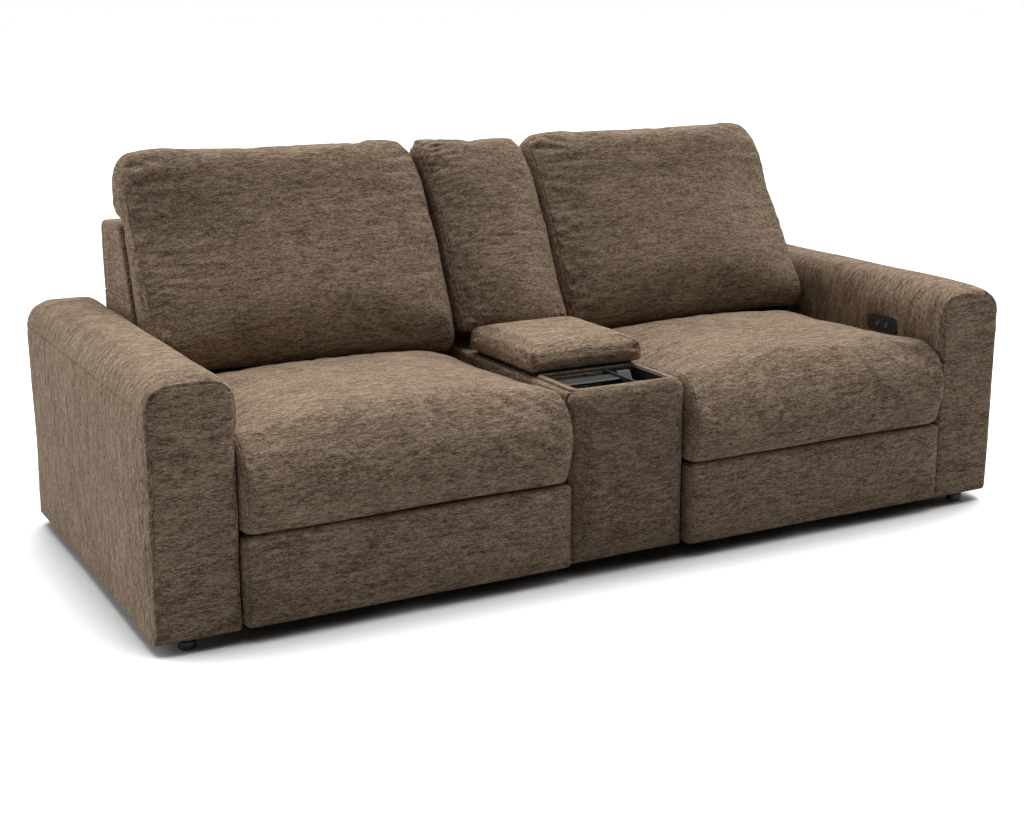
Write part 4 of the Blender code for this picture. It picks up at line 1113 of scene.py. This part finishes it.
def makeConsoleBox():
    use = consoleBox
    low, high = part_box("console_cabinet")
    top = use["top"]
    bm = plainBox(low, (high.x, high.y, top))
    half, front, rear = use["trayWell"]
    binHalf, binFront, binRear = use["bin"]
    wellsCut(bm, [(-half, half, front, rear, use["wellFloor"]),
                  (-binHalf, binHalf, binFront, binRear, use["binFloor"])], top)
    rim = [e for e in flatEdges(bm, 2, top) if all(abs(abs(v.co.x) - high.x) < 1e-4 for v in e.verts)]
    roundEdges(bm, rim, use["rim"], 4)

    def inWell(face):
        return abs(face.normal.z) < 0.1 and abs(face.calc_center_median().x) < binHalf + 1e-3

    mouths = [e for e in flatEdges(bm, 2, top) if len(e.link_faces) == 2 and any(map(inWell, e.link_faces))
              and front - 1e-3 < (e.verts[0].co.y + e.verts[1].co.y) / 2 < binRear + 1e-3]
    roundEdges(bm, mouths, use["wellRim"], 3)
    bm.normal_update()
    for face in bm.faces:
        spot = face.calc_center_median()
        deep = low.z + 0.01 < spot.z < top - use["lined"] and abs(spot.x) <= binHalf + 1e-3
        deep = deep and front - 1e-3 < spot.y < binRear + 1e-3
        face.material_index = 2 if deep else sideIndex(face)
    made = objectFrom("consoleBox", bm, [grainAcross, grainBoxing, lining], False)
    place(made, "base", "fabric", "console_cabinet")

    near, far = use["ear"]
    ears = joined(bmesh.new(), [
        roundedBox((x - use["earHalf"], *near), (x + use["earHalf"], *far), use["earEdge"], 4)
        for x in (-use["earX"], use["earX"])])
    place(objectFrom("lidHingeEars", ears, [enamel], False), "base", "frame_steel")


makeConsoleBox()

trayShape = {"lipEdge": 0.0012, "corner": 0.009, "floorEdge": 0.006, "wall": 0.002, "skirt": 0.003,
             "pockets": ((-0.122, 0.040), (0.046, 0.122)), "front": -0.469, "rear": -0.322, "floor": 0.3785}


def makeTray():
    use = trayShape
    low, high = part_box("console_tray")
    bm = bmesh.new()
    spot = Matrix.Translation(((low.x + high.x) / 2, (low.y + high.y) / 2, high.z))
    bmesh.ops.create_grid(bm, x_segments=1, y_segments=1, size=0.5,
                          matrix=spot @ Matrix.Diagonal((high.x - low.x, high.y - low.y, 1, 1)))
    wellsCut(bm, [(*pocket, use["front"], use["rear"], use["floor"]) for pocket in use["pockets"]], high.z)
    for left, right in use["pockets"]:
        posts = [e for e in bm.edges if abs(e.verts[0].co.z - e.verts[1].co.z) > 0.02
                 and left - 1e-4 < e.verts[0].co.x < right + 1e-4]
        roundEdges(bm, posts, use["corner"], 5)
    roundEdges(bm, flatEdges(bm, 2, use["floor"]), use["floorEdge"], 3)
    mouths = [e for e in flatEdges(bm, 2, high.z) if any(abs(f.normal.z) < 0.3 for f in e.link_faces)]
    roundEdges(bm, mouths, use["lipEdge"], 2)
    outer = [e for e in bm.edges if e.is_boundary]
    skirt = bmesh.ops.extrude_edge_only(bm, edges=outer)["geom"]
    bmesh.ops.translate(bm, verts=vertsIn(skirt), vec=(0, 0, -use["skirt"]))
    bmesh.ops.recalc_face_normals(bm, faces=bm.faces)
    if sum(f.normal.z * f.calc_area() for f in bm.faces) < 0:
        bmesh.ops.reverse_faces(bm, faces=bm.faces)
    made = objectFrom("consoleTray", bm, [blackPlastic], False)
    wall = made.modifiers.new("wall", "SOLIDIFY")
    wall.thickness = use["wall"]
    wall.offset = -1
    place(made, "base", "black_plastic", "console_tray")


makeTray()

trayRoll = {"inner": (0.1305, -0.4770, -0.3140), "outer": 0.0150, "corner": 0.024,
            "low": 0.4500, "high": 0.4612, "edge": 0.0052}


def makeTrayRoll():
    # Padded fabric edge that rolls over the tray's lip
    use = trayRoll
    half, front, rear = use["inner"]
    out = use["outer"]
    bm = bmesh.new()
    centre = Matrix.Translation((0, (front + rear) / 2, use["low"]))
    size = Matrix.Diagonal((2 * (half + out), rear - front + 2 * out, 1, 1))
    bmesh.ops.create_grid(bm, x_segments=1, y_segments=1, size=0.5, matrix=centre @ size)
    bmesh.ops.bevel(bm, geom=bm.verts[:], offset=use["corner"], offset_type="OFFSET", segments=5,
                    profile=0.5, affect="VERTICES", material=-1)
    bmesh.ops.inset_region(bm, faces=bm.faces[:], thickness=out, depth=0,
                           use_boundary=True, use_even_offset=True)
    middle = max(bm.faces, key=lambda f: f.calc_area())
    bmesh.ops.delete(bm, geom=[middle], context="FACES")
    grown = bmesh.ops.extrude_face_region(bm, geom=bm.faces[:])["geom"]
    bmesh.ops.translate(bm, verts=vertsIn(grown), vec=(0, 0, use["high"] - use["low"]))
    bmesh.ops.recalc_face_normals(bm, faces=bm.faces)
    roundEdges(bm, flatEdges(bm, 2, use["high"]), use["edge"], 4)
    place(objectFrom("trayRoll", bm, [grainAcross]), "base", "fabric")


makeTrayRoll()

trayBar = {
    "low": (-0.119, -0.404, 0.446), "high": (0.043, -0.352, 0.4535), "edge": 0.003,
    "groove": 0.0012, "grooveInset": 0.010, "grooveWall": 0.0012,
    "tab": ((-0.384, 0.436), (-0.364, 0.4605), (-0.357, 0.4605), (-0.350, 0.436)),
    "tabX": (0.054, 0.090), "tabEdge": 0.0018,
    "liningLow": (-0.1205, -0.3250, 0.392), "liningHigh": (0.0385, -0.3222, 0.4545), "liningEdge": 0.0012,
}


def makeTrayBar():
    use = trayBar
    bm = roundedBox(use["low"], use["high"], use["edge"], 3)
    top = [f for f in bm.faces if f.normal.z > 0.99]
    bmesh.ops.inset_region(bm, faces=top, thickness=use["grooveInset"], depth=0)
    bmesh.ops.inset_region(bm, faces=top, thickness=use["grooveWall"], depth=-use["groove"])
    place(objectFrom("trayBar", bm, [glossPlastic], False), "base", "black_plastic")
    # Sloping finger tab beside the bar
    bm = sweep(use["tab"], "X", *use["tabX"])
    roundEdges(bm, bm.edges, use["tabEdge"], 2)
    place(objectFrom("trayTab", bm, [blackPlastic], False), "base", "black_plastic")
    # Cloth on the well's rear wall
    bm = roundedBox(use["liningLow"], use["liningHigh"], use["liningEdge"], 2)
    place(objectFrom("trayLining", bm, [grainAcross], False), "base", "fabric")


makeTrayBar()
print("console ready")

# Feet, turned from a profile
footShape = {"radius": 0.021, "height": 0.035, "chamfer": 0.004, "collar": 0.0035, "steps": 40}


def spun(bm, ring, centre, axis, steps):
    # Turns a profile all the way round
    edges = [bm.edges.new(pair) for pair in zip(ring, ring[1:])]
    bmesh.ops.spin(bm, geom=ring + edges, cent=centre, axis=axis, angle=math.tau, steps=steps,
                   use_merge=True)
    bmesh.ops.remove_doubles(bm, verts=bm.verts, dist=1e-6)
    bmesh.ops.recalc_face_normals(bm, faces=bm.faces)
    return bm


def makeFeet():
    use = footShape
    for hand, side in hands:
        for end in ("front", "rear"):
            low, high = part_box(f"{hand}_{end}_foot")
            middle = (low + high) / 2
            r, h, c = use["radius"], use["height"], use["chamfer"]
            bm = bmesh.new()
            spots = [(0, 0), (r - c, 0), (r - 0.001, c), (r, h * 0.55), (r - 0.001, h * 0.58),
                     (r - use["collar"], h * 0.62), (r - use["collar"], h), (0, h)]
            ring = [bm.verts.new((middle.x + a, middle.y, low.z + z)) for a, z in spots]
            spun(bm, ring, (middle.x, middle.y, 0), (0, 0, 1), use["steps"])
            made = objectFrom(f"{hand}{end.title()}Foot", bm, [blackPlastic], False)
            place(made, "base", "black_plastic", f"{hand}_{end}_foot")


makeFeet()

# Switch plates and their buttons
switchShape = {"corner": 0.010, "edge": 0.0010, "rim": 0.0022, "rimSlope": 0.0006, "sink": 0.0011,
               "ring": 0.0085, "ringWall": 0.0011,
               "ringFoot": -0.0005, "ringRise": 0.0007, "ringTop": 0.0010,
               "dish": 0.0006, "capEdge": 0.0008, "steps": 36}


def turned(spots, centre, side):
    # Profile as (radius, out) spun round an axis along X; out points away from the arm
    bm = bmesh.new()
    ring = [bm.verts.new((centre.x - side * out, centre.y + radius, centre.z)) for radius, out in spots]
    return spun(bm, ring, centre, (1, 0, 0), switchShape["steps"])


def makeSwitches():
    use = switchShape
    for hand, side in hands:
        low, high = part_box(hand + "_switch_plate")
        face = high.x if side < 0 else low.x
        bm = plainBox(low, high)
        posts = [e for e in bm.edges if abs(e.verts[0].co.x - e.verts[1].co.x) > 1e-4]
        roundEdges(bm, posts, use["corner"], 5)
        roundEdges(bm, flatEdges(bm, 0, face), use["edge"], 2)
        bm.normal_update()
        # the field is sunk, so a pressed button stays proud of it
        field = [f for f in bm.faces if f.normal.x * side < -0.99]
        bmesh.ops.inset_region(bm, faces=field, thickness=use["rim"], depth=0)
        bmesh.ops.inset_region(bm, faces=field, thickness=use["rimSlope"], depth=-use["sink"])
        collars = []
        for button in ("open", "close"):
            inner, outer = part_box(f"{hand}_{button}_button")
            centre = Vector((face + side * use["sink"], (inner.y + outer.y) / 2, (inner.z + outer.z) / 2))
            r, w = use["ring"], use["ringWall"]
            foot, rise = use["ringFoot"], use["ringRise"]
            spots = [(r, foot), (r, rise), (r + w * 0.5, use["ringTop"]), (r + w, rise), (r + w, foot)]
            collars.append(turned(spots, centre, side))
        joined(bm, collars)
        made = objectFrom(hand + "SwitchPlate", bm, [blackPlastic], False)
        place(made, "base", "black_plastic", hand + "_switch_plate")
        for button in ("open", "close"):
            inner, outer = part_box(f"{hand}_{button}_button")
            centre = (inner + outer) / 2
            reach = (outer.x - inner.x) / 2
            r = (outer.y - inner.y) / 2
            edge, dish = use["capEdge"], use["dish"]
            cap = turned([(0, -reach), (r, -reach), (r, reach - edge), (r - edge, reach),
                          (r * 0.7, reach - dish), (0, reach - dish * 1.6)], centre, side)
            made = objectFrom(f"{hand}{button.title()}Button", cap, [greyPlastic], False)
            place(made, f"{hand}_{button}_button", "button_plastic", f"{hand}_{button}_button")


makeSwitches()
print("switches and feet ready")

# Frame pieces keep their own solids and take a finish
keptFinish = {
    "_seat_deck": plywood, "_arm_frame": plywood, "front_rail": plywood,
    "_plate": enamel, "_track": enamel, "_link": enamel,
    "_footrest_frame": enamel, "_headrest_frame": enamel,
    "_motor_rod": zinc, "console_hinge_rod": zinc, "_recline_motor": blackPlastic,
}
for name, node in nodes.items():
    for ending, finish in keptFinish.items():
        if name.endswith(ending) and not name.endswith("_switch_plate"):
            node.data.materials.clear()
            node.data.materials.append(finish)
print("frame finishes set")

# Camera, floor and light
view = {"spot": (-2.0328, -3.6529, 1.3700), "yaw": 28.578, "pitch": 14.652, "lens": 56.864}
light = {"world": 0.02, "floorSeen": 0.62, "floorGlow": 0.88, "floorBounce": 0.50, "floorSize": 60,
         "shadowReach": 0.45, "shadowFrom": 0.45, "shadowTo": 0.70,
         "topLight": (2.65, 60, (0.22, 0.29, 1.0)),    # strength, angle, where it comes from
         "leftLight": (1.60, 45, (-0.76, 0.66, 0.42)),
         "rightLight": (1.40, 50, (1.0, 0.0, 0.65))}


def seenStraight(tree):
    # 1 for camera, glossy and transmission rays, which see the white backdrop
    rays = addNode(tree, "ShaderNodeLightPath").outputs
    seen = addNode(tree, "ShaderNodeMath", {0: rays["Is Camera Ray"], 1: rays["Is Glossy Ray"]},
                   operation="MAXIMUM").outputs[0]
    return addNode(tree, "ShaderNodeMath", {0: seen, 1: rays["Is Transmission Ray"]},
                   operation="MAXIMUM").outputs[0]


def makeStage():
    camera = bpy.data.objects.new("photoCamera", bpy.data.cameras.new("photoCamera"))
    camera.data.lens = view["lens"]
    camera.data.sensor_width = 36
    camera.data.sensor_fit = "HORIZONTAL"
    camera.location = view["spot"]
    camera.rotation_euler = (math.radians(90 - view["pitch"]), 0, -math.radians(view["yaw"]))
    camera.data.clip_end = 200
    scene.collection.objects.link(camera)
    scene.camera = camera

    bm = bmesh.new()
    bmesh.ops.create_grid(bm, x_segments=1, y_segments=1, size=light["floorSize"])
    floor = objectFrom("floor", bm, [], False)
    finish, tree, shader = startFinish("floorPaper", 0.95)[:3]
    seen = seenStraight(tree)
    tone = addNode(tree, "ShaderNodeMix", {0: seen, 6: (*[light["floorBounce"]] * 3, 1),
                                           7: (*[light["floorSeen"]] * 3, 1)}, data_type="RGBA")
    tree.links.new(tone.outputs[2], shader.inputs["Base Color"])
    # the paper is white away from the object and keeps the shadow close to it
    near = addNode(tree, "ShaderNodeAmbientOcclusion", {"Distance": light["shadowReach"]}, samples=12)
    glow = addNode(tree, "ShaderNodeMapRange", {
        "Value": near.outputs["AO"], 1: light["shadowFrom"], 2: light["shadowTo"],
        3: 0.0, 4: light["floorGlow"]})
    glow = addNode(tree, "ShaderNodeMath", {0: glow.outputs[0], 1: seen}, operation="MULTIPLY")
    shader.inputs["Emission Color"].default_value = (1, 1, 1, 1)
    tree.links.new(glow.outputs[0], shader.inputs["Emission Strength"])
    shader.inputs["Specular IOR Level"].default_value = 0.0
    floor.data.materials.append(finish)

    world = bpy.data.worlds.new("studio")
    world.use_nodes = True
    scene.world = world
    tree = world.node_tree
    back = tree.nodes["Background"]
    power = addNode(tree, "ShaderNodeMapRange", {"Value": seenStraight(tree), 3: light["world"], 4: 1.0})
    back.inputs["Color"].default_value = (1, 1, 1, 1)
    tree.links.new(power.outputs[0], back.inputs["Strength"])

    for name in ("topLight", "leftLight", "rightLight"):    # suns
        strength, angle, direction = light[name]
        lamp = bpy.data.objects.new(name, bpy.data.lights.new(name, "SUN"))
        lamp.data.energy = strength
        lamp.data.angle = math.radians(angle)
        lamp.rotation_euler = Vector(direction).to_track_quat("Z", "Y").to_euler()
        scene.collection.objects.link(lamp)
    scene.view_settings.view_transform = "Standard"


makeStage()
print("stage ready")
